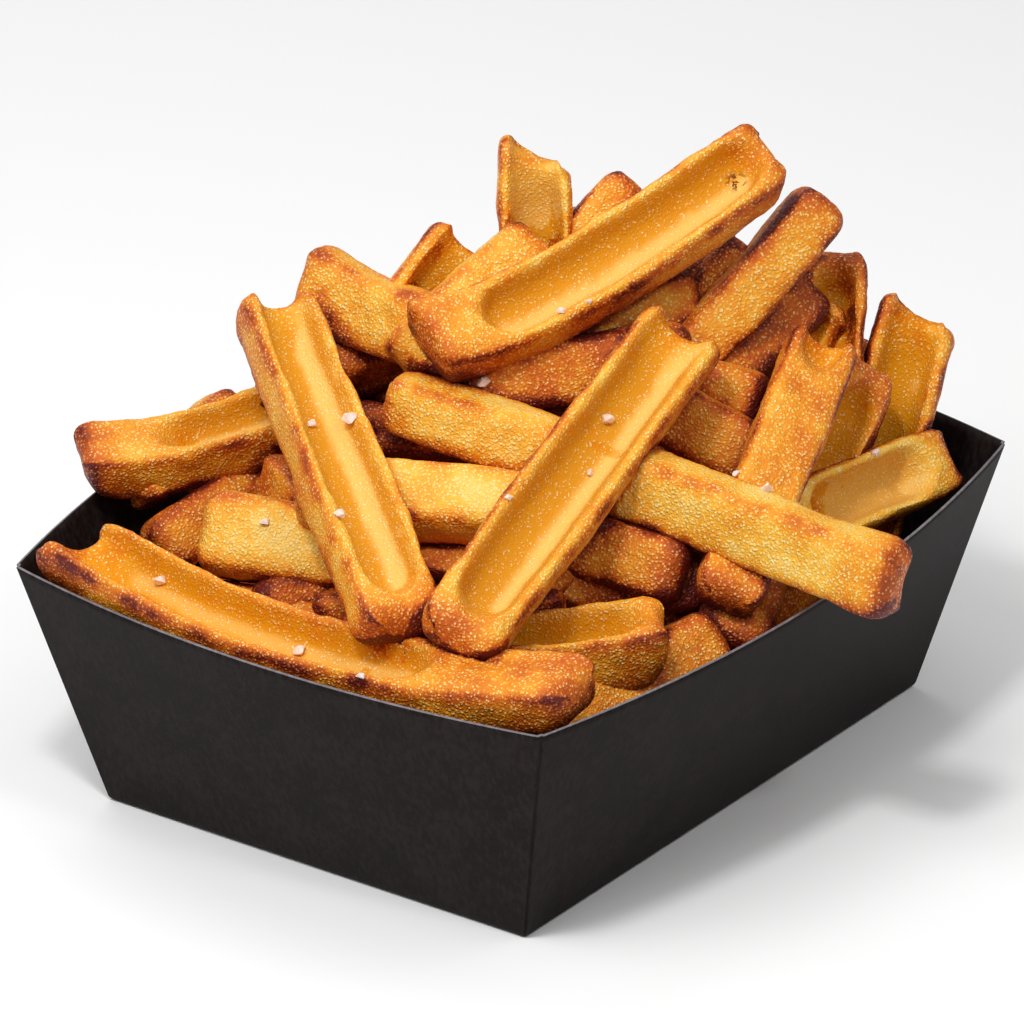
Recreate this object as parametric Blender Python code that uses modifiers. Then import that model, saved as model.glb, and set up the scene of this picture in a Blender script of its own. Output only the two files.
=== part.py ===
"""French fries heaped in a folded board carton.

The carton is one folded sheet: a flat base and four walls that lean outwards
and bow out towards the rim.  The fries are one solid, a heap whose core is
covered by whole fries.  Each fry is a rounded bar, and most have a scooped
trough along one face that runs out through one end.

Frame: metres, +Z up, origin at the middle of the base's underside.
X runs along the carton's long side.
"""
import math
from dataclasses import dataclass, replace

import bmesh
import bpy
import numpy as np

MM = 0.001

# Carton, in millimetres
BASE_HALF_X = 64.0
BASE_HALF_Y = 48.0
RIM_HALF_X = 76.3
RIM_HALF_Y = 60.0
CARTON_HEIGHT = 50.5
BOARD = 0.5
LONG_WALL_BOW = 10.0
SHORT_WALL_BOW = 6.8
LAP_STEP = 0.45
LAP_RUN = 0.3
LAP_GAP_AT_BASE = 0.3
LAP_GAP_AT_RIM = 0.9
LONG_WALL_PANELS = 12
SHORT_WALL_PANELS = 8
WALL_COURSES = 4

# Space kept between the fries and the carton's inner faces
WALL_MARGIN = 1.6
FLOOR_GAP = 0.4

# Heap under the fries that show
CORE_EXPONENT = 2.5
CORE_SIDES = 20
CORE_SHOULDER = 38.0
CORE_PEAK = 74.0
CORE_PEAK_AT = (14.0, -2.0)
CORE_STEPS = 4

# Faces that meet within this many degrees are joined after fusing
FLAT_WITHIN = 0.3

# Half cross-sections of a fry, from the middle of the back to the trough
SCOOP_HALF = ((0.68, -1.0), (1.0, -0.45), (0.94, 0.92), (0.58, 0.75), (0.30, -0.20))
SOLID_HALF = ((0.68, -1.0), (1.0, -0.45), (0.94, 0.80), (0.60, 1.0), (0.30, 1.0))
BAR_HALF = ((0.64, -1.0), (1.0, -0.60), (1.0, 0.60), (0.64, 1.0))
LOW_HALF = ((0.70, -1.0), (1.06, 0.0), (0.70, 1.0))
END_RADIUS = 0.42
END_SCALE = 0.62
END_RISE = 0.14

CARTON_COLOUR = (0.020, 0.018, 0.018, 1.0)
FRY_COLOUR = (0.66, 0.31, 0.055, 1.0)


@dataclass(frozen=True)
class Fry:
    """One fry: millimetres, and degrees for the three turns.

    A roll of 0 turns the trough up and 90 turns it to the right of the way
    from tail to tip.  The trough's start and end are shares of the length,
    and an end of 1 means that it runs out through the tip.
    """

    centre: tuple
    heading: float
    pitch: float
    length: float
    roll: float = 0.0
    width: float = 14.0
    thickness: float = 11.0
    trough: tuple = ()
    sag: float = 0.0
    sway: float = 0.0
    bend_at: float = 0.5
    tail_width: float = 1.0
    tip_width: float = 1.0
    skew: float = 0.0
    notch: float = 0.0
    under: bool = False


# The fries that show from the front, named for where they lie
SHOWN = {
    "left upright": Fry((-43, 10, 72), 54, 21, 86, 7, 17, 12, (0.07, 1.0), tip_width=0.88, notch=5),
    "centre": Fry((-26, -31, 73), 4, 20, 88, 27, 17, 12, (0.06, 1.0), notch=5),
    "top": Fry((17, -7, 99), -26, 17, 77, 33, 16, 12, (0.17, 0.97), sag=3, sway=3, bend_at=0.3),
    "long cross": Fry((-11, -37, 68), -80, -9, 107, -102, 15, 11, sag=-1, bend_at=0.4, tail_width=0.8),
    "left out": Fry((-25, 50, 62), -45, 10, 55, 13, 14, 11, (0.28, 1.0), sag=3, notch=4),
    "left behind": Fry((-26, 58, 56), -10, 12, 30, -126, 12, 11),
    "middle left": Fry((-43, 12, 55), -72, 0, 50, -127, 16.5, 11),
    "middle": Fry((-34, -5, 66), -65, 0, 50, -147, 14, 11),
    "front left": Fry((-65, -4, 53), 93, 0, 112, -12, 16, 12, (0.26, 1.0), sag=5, sway=-7, skew=-5, notch=6),
    "front": Fry((-46, -37, 50), 130, -2, 50, -4, 15, 14, (0.08, 0.9), sag=3),
    "front back": Fry((-21, -26, 59), -76, -7, 50, -120, 13, 11),
    "front right": Fry((-36, -51, 41), -16, 10, 45, -127, 13, 11),
    "rim stub": Fry((0, -54, 51), 19, 32, 34, -162, 15, 11),
    "right lean": Fry((12, -51, 67), 16, 26, 64, 26, 13.5, 11, (0.5, 1.0), notch=4),
    "up right": Fry((32, -23, 83), -16, 32, 64, -124, 11.5, 11, sag=2),
    "back upright": Fry((49, -38, 62), 31, 47, 61, 4, 12, 10, (0.5, 0.94)),
    "right stub": Fry((32, -46, 58), -4, 46, 45, 65, 12, 10, (0.4, 0.92)),
    "right scoop": Fry((55, -45, 49), 7, 57, 62, 26, 15.5, 11, (0.2, 1.0), skew=-2, notch=3),
    "right low": Fry((35, -53, 53), 177, 6, 56, -52, 14, 11, (0.08, 0.8)),
    "upper left": Fry((-6, 23, 87), -90, -4, 42, -113, 15, 11, sag=3, bend_at=0.4),
    "upper scoop": Fry((-7, 23, 80), -6, 32, 50, 42, 16, 11, (0.1, 1.0), notch=3),
    "brown end": Fry((2, 12, 89), -19, 29, 36, -131, 12, 11),
    "crown": Fry((16, 6, 85), 40, 69, 57, -4, 14, 11, (0.3, 1.0), skew=-3, notch=4),
    "crown right": Fry((19, 5, 92), -19, 34, 44, -132, 8, 9),
    "peak far": Fry((33, -14, 76), -21, 45, 45, -129, 10, 10, under=True),
    "peak dark": Fry((48, 3, 84), -120, 5, 45, 180, 11, 10),
    "peak under": Fry((16, -7, 82), -26, 8, 45, -119, 13, 10, under=True),
    "peak low": Fry((5, -10, 79), -47, 4, 45, -117, 14, 10, under=True),
    "under cross": Fry((15, -28, 70), -69, -24, 50, -120, 13, 10, under=True),
    "under centre": Fry((20, -20, 75), -68, -11, 40, -118, 12, 10, under=True),
    "right dark": Fry((37, -26, 74), -1, 16, 45, -139, 13, 10, under=True),
    "left pale": Fry((5, 28, 76), -20, 5, 40, -60, 10, 10, under=True),
    "left dark": Fry((-9, 5, 66), 110, 0, 45, 117, 10, 10, under=True),
    "corner": Fry((-26, 46, 49), -15, 16, 40, -130, 12, 10, under=True),
    "low left": Fry((-40, 7, 47), -38, 7, 40, -119, 12, 10, under=True),
    "low middle": Fry((-28, -12, 51), -64, 5, 40, -116, 12, 10, under=True),
    "low front": Fry((-21, -32, 52), -54, 0, 45, -116, 12, 10, under=True),
    "low right": Fry((38, -44, 54), 5, 40, 45, -121, 12, 10, under=True),
}

# Fries laid by rule: over the far side, and low down around the walls
FAR_COUNT = 27
FAR_FROM, FAR_TO = -58.0, 178.0
FAR_SEED = 12
FAR_NEAREST, FAR_SPREAD = 0.30, 0.60
FAR_LENGTHS = (48.0, 76.0)
FAR_WIDTHS = (12.5, 16.5)
FAR_THICKNESSES = (10.0, 12.0)
FAR_TROUGH_STARTS = (0.07, 0.25)
FAR_ROLL_SPREAD = 28.0
FAR_PITCH_SPREAD = 7.0
FAR_BEND_SPREAD = 1.2
FAR_SUNK = 1.0
FAR_BEARING = 36.0
FAR_WAY = np.array([math.cos(math.radians(FAR_BEARING)), math.sin(math.radians(FAR_BEARING)), 0.0])
FAR_LINE = 16.0
FAR_SLACK = 8.0
LOW_COUNT = 20
LOW_SEED = 8
LOW_OUTERMOST, LOW_SPREAD = 0.86, 0.40
LOW_REACH = (68.0, 54.0)
LOW_LENGTHS = (42.0, 62.0)
LOW_WIDTHS = (11.0, 14.0)
LOW_THICKNESS = 10.0
LOW_HEADING_SPREAD = 30.0
LOW_PITCH_SPREAD = 9.0
LOW_SUNK = 13.0
SLIDE_STEPS = 80
SLIDE_IN = 0.017
SLIDE_UP = 0.1
GOLDEN_SHARE = 0.618034
LAY_PEAK_AT = (16.0, 2.0)
LAY_REACH = (64.0, 56.0)
LAY_RIM = 44.0
LAY_PEAK = 84.0

# The heap's skyline as the front shows it, in millimetres across and up the view
SIGHT_ACROSS = np.array([0.584, -0.812, 0.0])
SIGHT_UP = np.array([0.358, 0.258, 0.897])
SKYLINE_ACROSS = (-85, -54, -51, -37, -23, -14, -6, -3, 16, 42, 46, 54, 57, 64, 66, 78, 80, 90)
SKYLINE_UP = (58, 66, 80, 86, 82, 89, 93, 101, 102, 108, 100, 98, 87, 86, 77, 75, 57, 55)


def smooth_step(value, low, high):
    """Return 0 below low, 1 above high and a smooth rise between them."""
    share = np.clip((value - low) / (high - low), 0.0, 1.0)
    return share * share * (3.0 - 2.0 * share)


def wall_half_sizes(height):
    """Return the carton's outer half sizes at a height, without the bow."""
    share = height / CARTON_HEIGHT
    half_x = BASE_HALF_X + (RIM_HALF_X - BASE_HALF_X) * share
    half_y = BASE_HALF_Y + (RIM_HALF_Y - BASE_HALF_Y) * share
    return half_x, half_y, share


def bow(along, half):
    """Return the bow's share at a place along a wall: 1 mid-wall, 0 at its ends."""
    share = np.clip((along + half) / (2.0 * half), 0.0, 1.0)
    return 4.0 * share * (1.0 - share)


def outside_by(points, margin):
    """Return how far points under the rim reach past the walls' inner faces."""
    below = points[points[:, 2] < CARTON_HEIGHT + 0.6]
    if len(below) == 0:
        return 0.0
    half_x, half_y, share = wall_half_sizes(np.clip(below[:, 2], 0.0, CARTON_HEIGHT))
    limit_x = half_x + SHORT_WALL_BOW * bow(below[:, 1], half_y) * share - margin
    limit_y = half_y + LONG_WALL_BOW * bow(below[:, 0], half_x) * share - margin
    over = np.maximum(np.abs(below[:, 0]) - limit_x, np.abs(below[:, 1]) - limit_y)
    floor = (BOARD + FLOOR_GAP) - below[:, 2]
    return float(max(over.max(), floor.max(), 0.0))


def mirror_section(half):
    """Return the whole cross-section of a half one, as an array."""
    right = np.array(half)
    left = right[::-1] * (-1.0, 1.0)
    return np.concatenate([right, left])


def fry_axes(fry):
    """Return the unit vectors along a fry, to its right and up from it."""
    heading = math.radians(fry.heading)
    pitch = math.radians(fry.pitch)
    along = np.array([
        math.cos(pitch) * math.cos(heading),
        math.cos(pitch) * math.sin(heading),
        math.sin(pitch),
    ])
    right = np.array([math.sin(heading), -math.cos(heading), 0.0])
    return along, right, np.cross(right, along)


def fry_rings(fry):
    """Return the rings of points, in millimetres, that a fry is lofted through."""
    length = fry.length
    cap = END_RADIUS * fry.thickness
    ends = [END_RISE * cap, cap]
    if fry.trough:
        start, stop = fry.trough
        body = [length * (start + 0.02), length * (start + 0.12)]
        body.append(length * (start + 0.12 + stop) / 2.0)
        if stop < 1.0:
            body.append(length * (stop - 0.10))
        scoop, solid = mirror_section(SCOOP_HALF), mirror_section(SOLID_HALF)
        body = [place for place in body if cap * 1.2 < place < length - cap * 1.2]
    else:
        start, stop = 2.0, 2.0
        body = [length * 0.5]
        scoop = solid = mirror_section(LOW_HALF if fry.under else BAR_HALF)
    places = np.array(ends + body + [length - cap, length - END_RISE * cap])
    scale = np.ones(len(places))
    scale[[0, -1]] = END_SCALE

    depth = smooth_step(places / length, start - 0.02, start + 0.10)
    runs_out = stop >= 1.0 and start < 1.0
    if not runs_out:
        depth = depth * (1.0 - smooth_step(places / length, stop - 0.10, stop + 0.02))
    section = solid + (scoop - solid) * depth[:, None, None]

    slim = fry.tail_width + (fry.tip_width - fry.tail_width) * places / length
    across = section[..., 0] * (scale * slim)[:, None] * fry.width / 2.0
    rise = section[..., 1] * scale[:, None] * fry.thickness / 2.0
    reach = np.repeat(places[:, None], section.shape[1], axis=1)
    if runs_out:
        near_tip = smooth_step(places / length, 0.8, 1.0)[:, None]
        rim = np.clip((np.abs(section[..., 0]) - 0.3) / 0.6, 0.0, 1.0)
        lift = np.clip((section[..., 1] + 1.0) / 1.2, 0.15, 1.0)
        reach = reach + near_tip * fry.notch * (rim - 1.0) * lift
        reach = reach + near_tip * fry.skew * section[..., 0]

    share = np.clip(reach / length, 0.0, 1.0)
    side = np.where(share < fry.bend_at, fry.bend_at, 1.0 - fry.bend_at)
    bend = 1.0 - ((share - fry.bend_at) / side) ** 2
    roll = -math.radians(fry.roll)
    turned_across = across * math.cos(roll) - rise * math.sin(roll) + fry.sway * bend
    turned_rise = across * math.sin(roll) + rise * math.cos(roll) - fry.sag * bend

    along, right, up = fry_axes(fry)
    tail = np.array(fry.centre, float) - along * length / 2.0
    return (
        tail
        + reach[..., None] * along
        + turned_across[..., None] * right
        + turned_rise[..., None] * up
    )


def loft(name, rings, collection):
    """Make a closed mesh object through rings that have equal point counts."""
    count, around, _ = rings.shape
    points = (rings.reshape(-1, 3) * MM).tolist()
    index = np.arange(count * around).reshape(count, around)
    after = np.roll(index, -1, axis=1)
    sides = np.stack([index[:-1], after[:-1], after[1:], index[1:]], axis=-1)
    faces = sides.reshape(-1, 4).tolist()
    faces.append(index[0][::-1].tolist())
    faces.append(index[-1].tolist())
    mesh = bpy.data.meshes.new(name)
    mesh.from_pydata(points, [], faces)
    body = bmesh.new()
    body.from_mesh(mesh)
    bmesh.ops.recalc_face_normals(body, faces=body.faces)
    bmesh.ops.triangulate(body, faces=body.faces)
    body.to_mesh(mesh)
    body.free()
    obj = bpy.data.objects.new(name, mesh)
    collection.objects.link(obj)
    return obj


def core_rings():
    """Return the rings of the heap's core, from the floor to its peak."""
    rings = []
    turns = np.linspace(0.0, 2.0 * math.pi, CORE_SIDES, endpoint=False)
    power = 2.0 / CORE_EXPONENT
    round_x = np.sign(np.cos(turns)) * np.abs(np.cos(turns)) ** power
    round_y = np.sign(np.sin(turns)) * np.abs(np.sin(turns)) ** power
    for height in (BOARD + FLOOR_GAP, CORE_SHOULDER / 2.0, CORE_SHOULDER):
        half_x, half_y, _ = wall_half_sizes(height)
        spread_x, spread_y = half_x - 2.0 * WALL_MARGIN, half_y - 2.0 * WALL_MARGIN
        rings.append(np.stack([
            round_x * spread_x, round_y * spread_y, np.full(CORE_SIDES, height),
        ], axis=-1))
    for step in range(1, CORE_STEPS + 1):
        inward = step / (CORE_STEPS + 0.6)
        size = 1.0 - inward
        height = CORE_SHOULDER + (CORE_PEAK - CORE_SHOULDER) * (1.0 - size ** 1.6)
        rings.append(np.stack([
            round_x * spread_x * size + CORE_PEAK_AT[0] * inward,
            round_y * spread_y * size + CORE_PEAK_AT[1] * inward,
            np.full(CORE_SIDES, height),
        ], axis=-1))
    return np.array(rings)


def lay_height(place_x, place_y):
    """Return the height that the fries laid by rule follow at a place."""
    off_x = (place_x - LAY_PEAK_AT[0]) / (LAY_REACH[0] + abs(LAY_PEAK_AT[0]))
    off_y = (place_y - LAY_PEAK_AT[1]) / LAY_REACH[1]
    fall_x = max(0.0, 1.0 - off_x * off_x)
    fall_y = max(0.0, 1.0 - off_y * off_y)
    return LAY_RIM + (LAY_PEAK - LAY_RIM) * fall_x * fall_y


def slope_along(place_x, place_y, heading, step=6.0):
    """Return the laying surface's slope, in degrees, along a heading."""
    step_x = step * math.cos(math.radians(heading))
    step_y = step * math.sin(math.radians(heading))
    ahead = lay_height(place_x + step_x, place_y + step_y)
    behind = lay_height(place_x - step_x, place_y - step_y)
    return math.degrees(math.atan2(ahead - behind, 2.0 * step))


def slide_inside(fry):
    """Return the fry, moved towards the middle until it clears the carton."""
    centre = np.array(fry.centre, float)
    for _ in range(SLIDE_STEPS):
        placed = replace(fry, centre=tuple(centre))
        if outside_by(fry_rings(placed).reshape(-1, 3), WALL_MARGIN) <= 0.0:
            return placed
        centre[:2] -= centre[:2] * SLIDE_IN
        centre[2] += SLIDE_UP
    return None


def far_reach(fry):
    """Return how near a fry's ends come to the front, along the way to the far side."""
    along, _, _ = fry_axes(fry)
    return np.dot(fry.centre, FAR_WAY) - abs(np.dot(along, FAR_WAY)) * fry.length / 2.0


def over_skyline(fry):
    """Return how far a fry rises above the skyline that shows from the front."""
    points = fry_rings(fry).reshape(-1, 3)
    seen_across = points @ SIGHT_ACROSS
    seen_up = points @ SIGHT_UP
    limit = np.interp(seen_across, SKYLINE_ACROSS, SKYLINE_UP)
    return float((seen_up - limit).max()) / SIGHT_UP[2]


def keep_behind(fry):
    """Return a fry moved to the far side and lowered out of sight, or None."""
    short = FAR_LINE - far_reach(fry)
    if short > 0.0:
        fry = replace(fry, centre=tuple(np.array(fry.centre) + FAR_WAY * short))
    fry = slide_inside(fry)
    if fry is None:
        return None
    rise = over_skyline(fry)
    if rise > 0.0:
        x, y, z = fry.centre
        fry = slide_inside(replace(fry, centre=(x, y, z - rise)))
    return fry


def far_fries():
    """Return the fries over the side that faces away from the front."""
    chance = np.random.default_rng(FAR_SEED)
    laid = []
    for number in range(FAR_COUNT):
        share = (number * GOLDEN_SHARE) % 1.0
        angle = math.radians(FAR_FROM + (FAR_TO - FAR_FROM) * share)
        radius = FAR_NEAREST + FAR_SPREAD * (number + 0.5) / FAR_COUNT
        place_x = LAY_PEAK_AT[0] + LAY_REACH[0] * radius * math.cos(angle)
        place_y = LAY_PEAK_AT[1] + LAY_REACH[1] * radius * math.sin(angle)
        heading = float(chance.uniform(0.0, 360.0))
        tilt = float(chance.normal(0.0, FAR_PITCH_SPREAD))
        scooped = number % 3 != 2
        fry = Fry(
            (place_x, place_y, lay_height(place_x, place_y) - FAR_SUNK),
            heading,
            slope_along(place_x, place_y, heading) + tilt,
            float(chance.uniform(*FAR_LENGTHS)),
            float(chance.normal(0.0, FAR_ROLL_SPREAD)),
            float(chance.uniform(*FAR_WIDTHS)),
            float(chance.uniform(*FAR_THICKNESSES)),
            (float(chance.uniform(*FAR_TROUGH_STARTS)), 1.0) if scooped else (),
            sag=float(chance.normal(0.0, FAR_BEND_SPREAD)),
            sway=float(chance.normal(0.0, FAR_BEND_SPREAD)),
            notch=4.0 if scooped else 0.0,
        )
        fry = keep_behind(fry)
        if fry is not None and FAR_LINE - far_reach(fry) > FAR_SLACK:
            fry = keep_behind(replace(fry, heading=FAR_BEARING + 90.0, pitch=0.0))
        laid.append(fry)
    return [fry for fry in laid if fry is not None]


def low_fries():
    """Return the plain fries low down around the walls, seen in the gaps."""
    chance = np.random.default_rng(LOW_SEED)
    laid = []
    for number in range(LOW_COUNT):
        angle = 2.0 * math.pi * ((number * GOLDEN_SHARE) % 1.0)
        radius = LOW_OUTERMOST - LOW_SPREAD * number / LOW_COUNT
        place_x = LOW_REACH[0] * radius * math.cos(angle)
        place_y = LOW_REACH[1] * radius * math.sin(angle)
        turn = float(chance.normal(0.0, LOW_HEADING_SPREAD))
        fry = Fry(
            (place_x, place_y, lay_height(place_x, place_y) - LOW_SUNK),
            math.degrees(angle) + 90.0 + turn,
            float(chance.normal(0.0, LOW_PITCH_SPREAD)),
            float(chance.uniform(*LOW_LENGTHS)),
            float(chance.uniform(0.0, 180.0)),
            float(chance.uniform(*LOW_WIDTHS)),
            LOW_THICKNESS,
            under=True,
        )
        laid.append(slide_inside(fry))
    return [fry for fry in laid if fry is not None]


def connected_faces(body):
    """Return a bmesh's separate bodies as lists of faces, the largest first."""
    waiting = set(body.faces)
    found = []
    while waiting:
        reached = [waiting.pop()]
        for face in reached:
            for edge in face.edges:
                for other in edge.link_faces:
                    if other in waiting:
                        waiting.remove(other)
                        reached.append(other)
        found.append(reached)
    return sorted(found, key=len, reverse=True)


def keep_main_body(obj):
    """Fill the hollows that fusing sealed, drop loose scraps and join flat faces."""
    body = bmesh.new()
    body.from_mesh(obj.data)
    spare = [face for faces in connected_faces(body)[1:] for face in faces]
    bmesh.ops.delete(body, geom=spare, context="FACES")
    bmesh.ops.dissolve_limit(
        body, angle_limit=math.radians(FLAT_WITHIN), verts=body.verts, edges=body.edges,
    )
    bmesh.ops.triangulate(body, faces=body.faces)
    body.to_mesh(obj.data)
    body.free()


def build_fries(collection, pieces):
    """Make the heap: one solid out of the core and every fry."""
    heap = loft("fries", core_rings(), collection)
    for name, fry in SHOWN.items():
        loft("shown " + name, fry_rings(fry), pieces)
    for number, fry in enumerate(far_fries()):
        loft(f"far {number}", fry_rings(fry), pieces)
    for number, fry in enumerate(low_fries()):
        loft(f"low {number}", fry_rings(fry), pieces)

    union = heap.modifiers.new("union", "BOOLEAN")
    union.operation = "UNION"
    union.operand_type = "COLLECTION"
    union.collection = pieces
    union.solver = "MANIFOLD"
    bpy.context.view_layer.objects.active = heap
    bpy.context.view_layer.update()
    bpy.ops.object.modifier_apply(modifier=union.name)
    for piece in list(pieces.objects):
        bpy.data.objects.remove(piece, do_unlink=True)
    bpy.data.collections.remove(pieces)
    keep_main_body(heap)
    return heap


def wall_offsets(panels, half, gap):
    """Return places along a wall and how proud of the corner each one lies."""
    places, proud = [-half], [0.0]
    if gap > 0.0:
        places += [-half + gap, -half + gap + LAP_RUN]
        proud += [0.0, LAP_STEP]
    first, last = places[-1], -places[-1]
    level = proud[-1]
    for panel in range(1, panels):
        places.append(first + (last - first) * panel / panels)
        proud.append(level)
    if gap > 0.0:
        places += [last, half - gap]
        proud += [LAP_STEP, 0.0]
    return places, proud


def carton_course(share):
    """Return the carton's outline at a share of its height, corner by corner."""
    height = CARTON_HEIGHT * share
    half_x, half_y, _ = wall_half_sizes(height)
    gap = LAP_GAP_AT_BASE + (LAP_GAP_AT_RIM - LAP_GAP_AT_BASE) * share
    front = []
    places, proud = wall_offsets(LONG_WALL_PANELS, half_x, gap)
    for place, step in zip(places, proud):
        out = half_y + LONG_WALL_BOW * bow(place, half_x) * share + step
        front.append((place, -out, height))
    side = []
    places, proud = wall_offsets(SHORT_WALL_PANELS, half_y, 0.0)
    for place, _ in zip(places, proud):
        out = half_x + SHORT_WALL_BOW * bow(place, half_y) * share
        side.append((out, place, height))
    half_turn = front + side
    return np.array(half_turn + [(-x, -y, z) for x, y, z in half_turn])


def build_carton(collection):
    """Make the carton: an open folded surface given the board's thickness."""
    body = bmesh.new()
    places = {body.verts.new(point * MM): place for place, point in enumerate(carton_course(0.0))}
    base = body.faces.new(list(places)[::-1])
    edges = list(base.edges)
    for number in range(1, WALL_COURSES + 1):
        outline = carton_course(number / WALL_COURSES)
        made = bmesh.ops.extrude_edge_only(body, edges=edges)["geom"]
        raised = {}
        for vert in (item for item in made if isinstance(item, bmesh.types.BMVert)):
            joined = [edge.other_vert(vert) for edge in vert.link_edges]
            raised[vert] = next(places[other] for other in joined if other in places)
        for vert, place in raised.items():
            vert.co = outline[place] * MM
        made_edges = [item for item in made if isinstance(item, bmesh.types.BMEdge)]
        edges = [edge for edge in made_edges if all(vert in raised for vert in edge.verts)]
        places = raised
    bmesh.ops.recalc_face_normals(body, faces=body.faces)
    mesh = bpy.data.meshes.new("carton")
    body.to_mesh(mesh)
    body.free()
    carton = bpy.data.objects.new("carton", mesh)
    collection.objects.link(carton)
    board = carton.modifiers.new("board", "SOLIDIFY")
    board.thickness = BOARD * MM
    board.offset = -1.0
    board.use_even_offset = True
    return carton


def make_material(name, colour, roughness):
    """Return a Principled BSDF material."""
    material = bpy.data.materials.new(name)
    material.use_nodes = True
    shader = material.node_tree.nodes["Principled BSDF"]
    shader.inputs["Base Color"].default_value = colour
    shader.inputs["Roughness"].default_value = roughness
    shader.inputs["Metallic"].default_value = 0.0
    return material


def clear_scene():
    """Remove every object and collection that the scene starts with."""
    for obj in list(bpy.data.objects):
        bpy.data.objects.remove(obj, do_unlink=True)
    for collection in list(bpy.data.collections):
        bpy.data.collections.remove(collection)


def main():
    """Build the carton and its fries."""
    clear_scene()
    parts = bpy.data.collections.new("french fries in a carton")
    bpy.context.scene.collection.children.link(parts)
    pieces = bpy.data.collections.new("pieces")
    bpy.context.scene.collection.children.link(pieces)
    carton = build_carton(parts)
    fries = build_fries(parts, pieces)
    carton.data.materials.append(make_material("black board", CARTON_COLOUR, 0.6))
    fries.data.materials.append(make_material("fried potato", FRY_COLOUR, 0.5))


if __name__ == "__main__":
    main()
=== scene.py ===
"""French fries heaped in a folded black board tray: the looks of the part.

The tray is one folded sheet with a lighter cut edge.  The heap is made of
whole fries, each a rounded bar with a crisp, granular crust, and most have a
scooped trough along one face.  Grains of coarse salt lie on them.

Lengths are in millimetres until a mesh is made, and metres after that.
"""

import logging
import math
from dataclasses import dataclass, field, replace
from enum import Enum

import bmesh
import bpy
import numpy as np
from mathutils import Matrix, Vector


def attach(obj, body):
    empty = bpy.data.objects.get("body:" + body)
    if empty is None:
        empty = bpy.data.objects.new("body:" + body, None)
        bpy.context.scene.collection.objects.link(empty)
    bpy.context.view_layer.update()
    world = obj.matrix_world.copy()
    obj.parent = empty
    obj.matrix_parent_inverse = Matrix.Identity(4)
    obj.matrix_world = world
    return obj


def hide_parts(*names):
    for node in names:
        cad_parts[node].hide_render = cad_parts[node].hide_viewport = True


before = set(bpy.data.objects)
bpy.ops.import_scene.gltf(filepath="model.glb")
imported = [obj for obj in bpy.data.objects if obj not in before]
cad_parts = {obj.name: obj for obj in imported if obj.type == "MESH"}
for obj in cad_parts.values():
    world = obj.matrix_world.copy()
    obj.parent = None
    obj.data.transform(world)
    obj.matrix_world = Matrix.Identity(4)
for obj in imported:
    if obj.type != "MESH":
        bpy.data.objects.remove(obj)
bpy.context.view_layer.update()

LOG = logging.getLogger("fries")
MM = 0.001
GOLDEN_SHARE = 0.618034
TINY = 1e-9

# Point values of the fries' meshes: end, rim, trough and tone in one, the tone with its painted shade and
# painted light, and the burnt speck
CRUST_MARKS = "crust"
BURNT_MARK = "char"

# Large odd numbers that scatter a cell's three numbers, a seed and their mix
CELL_FACTORS = (73856093, 19349663, 83492791)
SEED_FACTOR = 2654435761
SCATTER_FACTOR = 1274126177

# The bits of the mix that are kept, and how far cells are shifted to stay above zero
LOW_BITS = 65535
NOISE_SHIFT = 512.0

Grid = np.ndarray
Colour = tuple[float, float, float]


# Numbers


def smooth_step(value: Grid, low: float, high: float) -> Grid:
    """Rise smoothly from 0 at low to 1 at high, as 3t squared minus 2t cubed.

    Args:
        value: Where to read the rise.
        low: The value that gives 0.
        high: The value that gives 1.

    Returns:
        An array of the same shape as value.
    """
    share = np.clip((value - low) / (high - low), 0.0, 1.0)
    return share * share * (3.0 - 2.0 * share)


def bell(value: Grid, middle: float, width: float) -> Grid:
    """Give a bell curve: e to the minus square of the distance over the width."""
    return np.exp(-((value - middle) / width) ** 2)


def lattice_hash(cell: Grid, seed: int) -> Grid:
    """Give each whole-number cell of space a fixed chance value.

    The three cell numbers are multiplied by large odd numbers, mixed by
    shifts, and the low bits are scaled to the range -1 to 1.

    Args:
        cell: Whole numbers, with x, y and z along the last axis.
        seed: Sets one pattern apart from another.

    Returns:
        One value from -1 to 1 for each cell.
    """
    mixed = np.uint64(seed * SEED_FACTOR % 2 ** 32)
    for axis, factor in enumerate(CELL_FACTORS):
        mixed = mixed ^ cell[..., axis].astype(np.uint64) * np.uint64(factor)
    mixed = (mixed ^ (mixed >> np.uint64(13))) * np.uint64(SCATTER_FACTOR)
    mixed = mixed ^ (mixed >> np.uint64(16))
    return (mixed & np.uint64(LOW_BITS)).astype(float) * 2.0 / LOW_BITS - 1.0


def value_noise(points: Grid, size: float, seed: int) -> Grid:
    """Give smooth chance bumps of one size throughout space.

    Each point blends the chance values of the eight corners of its cell, with
    smooth weights along x, y and z.

    Args:
        points: Places in millimetres, with x, y and z along the last axis.
        size: The cell's edge in millimetres.
        seed: Sets one pattern apart from another.

    Returns:
        A value of about -1 to 1 for each point.
    """
    place = points / size + NOISE_SHIFT
    cell = np.floor(place).astype(np.int64)
    part = place - cell
    part = part * part * (3.0 - 2.0 * part)
    total = np.zeros(points.shape[:-1])
    for corner in np.ndindex(2, 2, 2):
        step = np.array(corner)
        weight = np.prod(np.where(step == 1, part, 1.0 - part), axis=-1)
        total += weight * lattice_hash(cell + step, seed)
    return total


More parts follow.
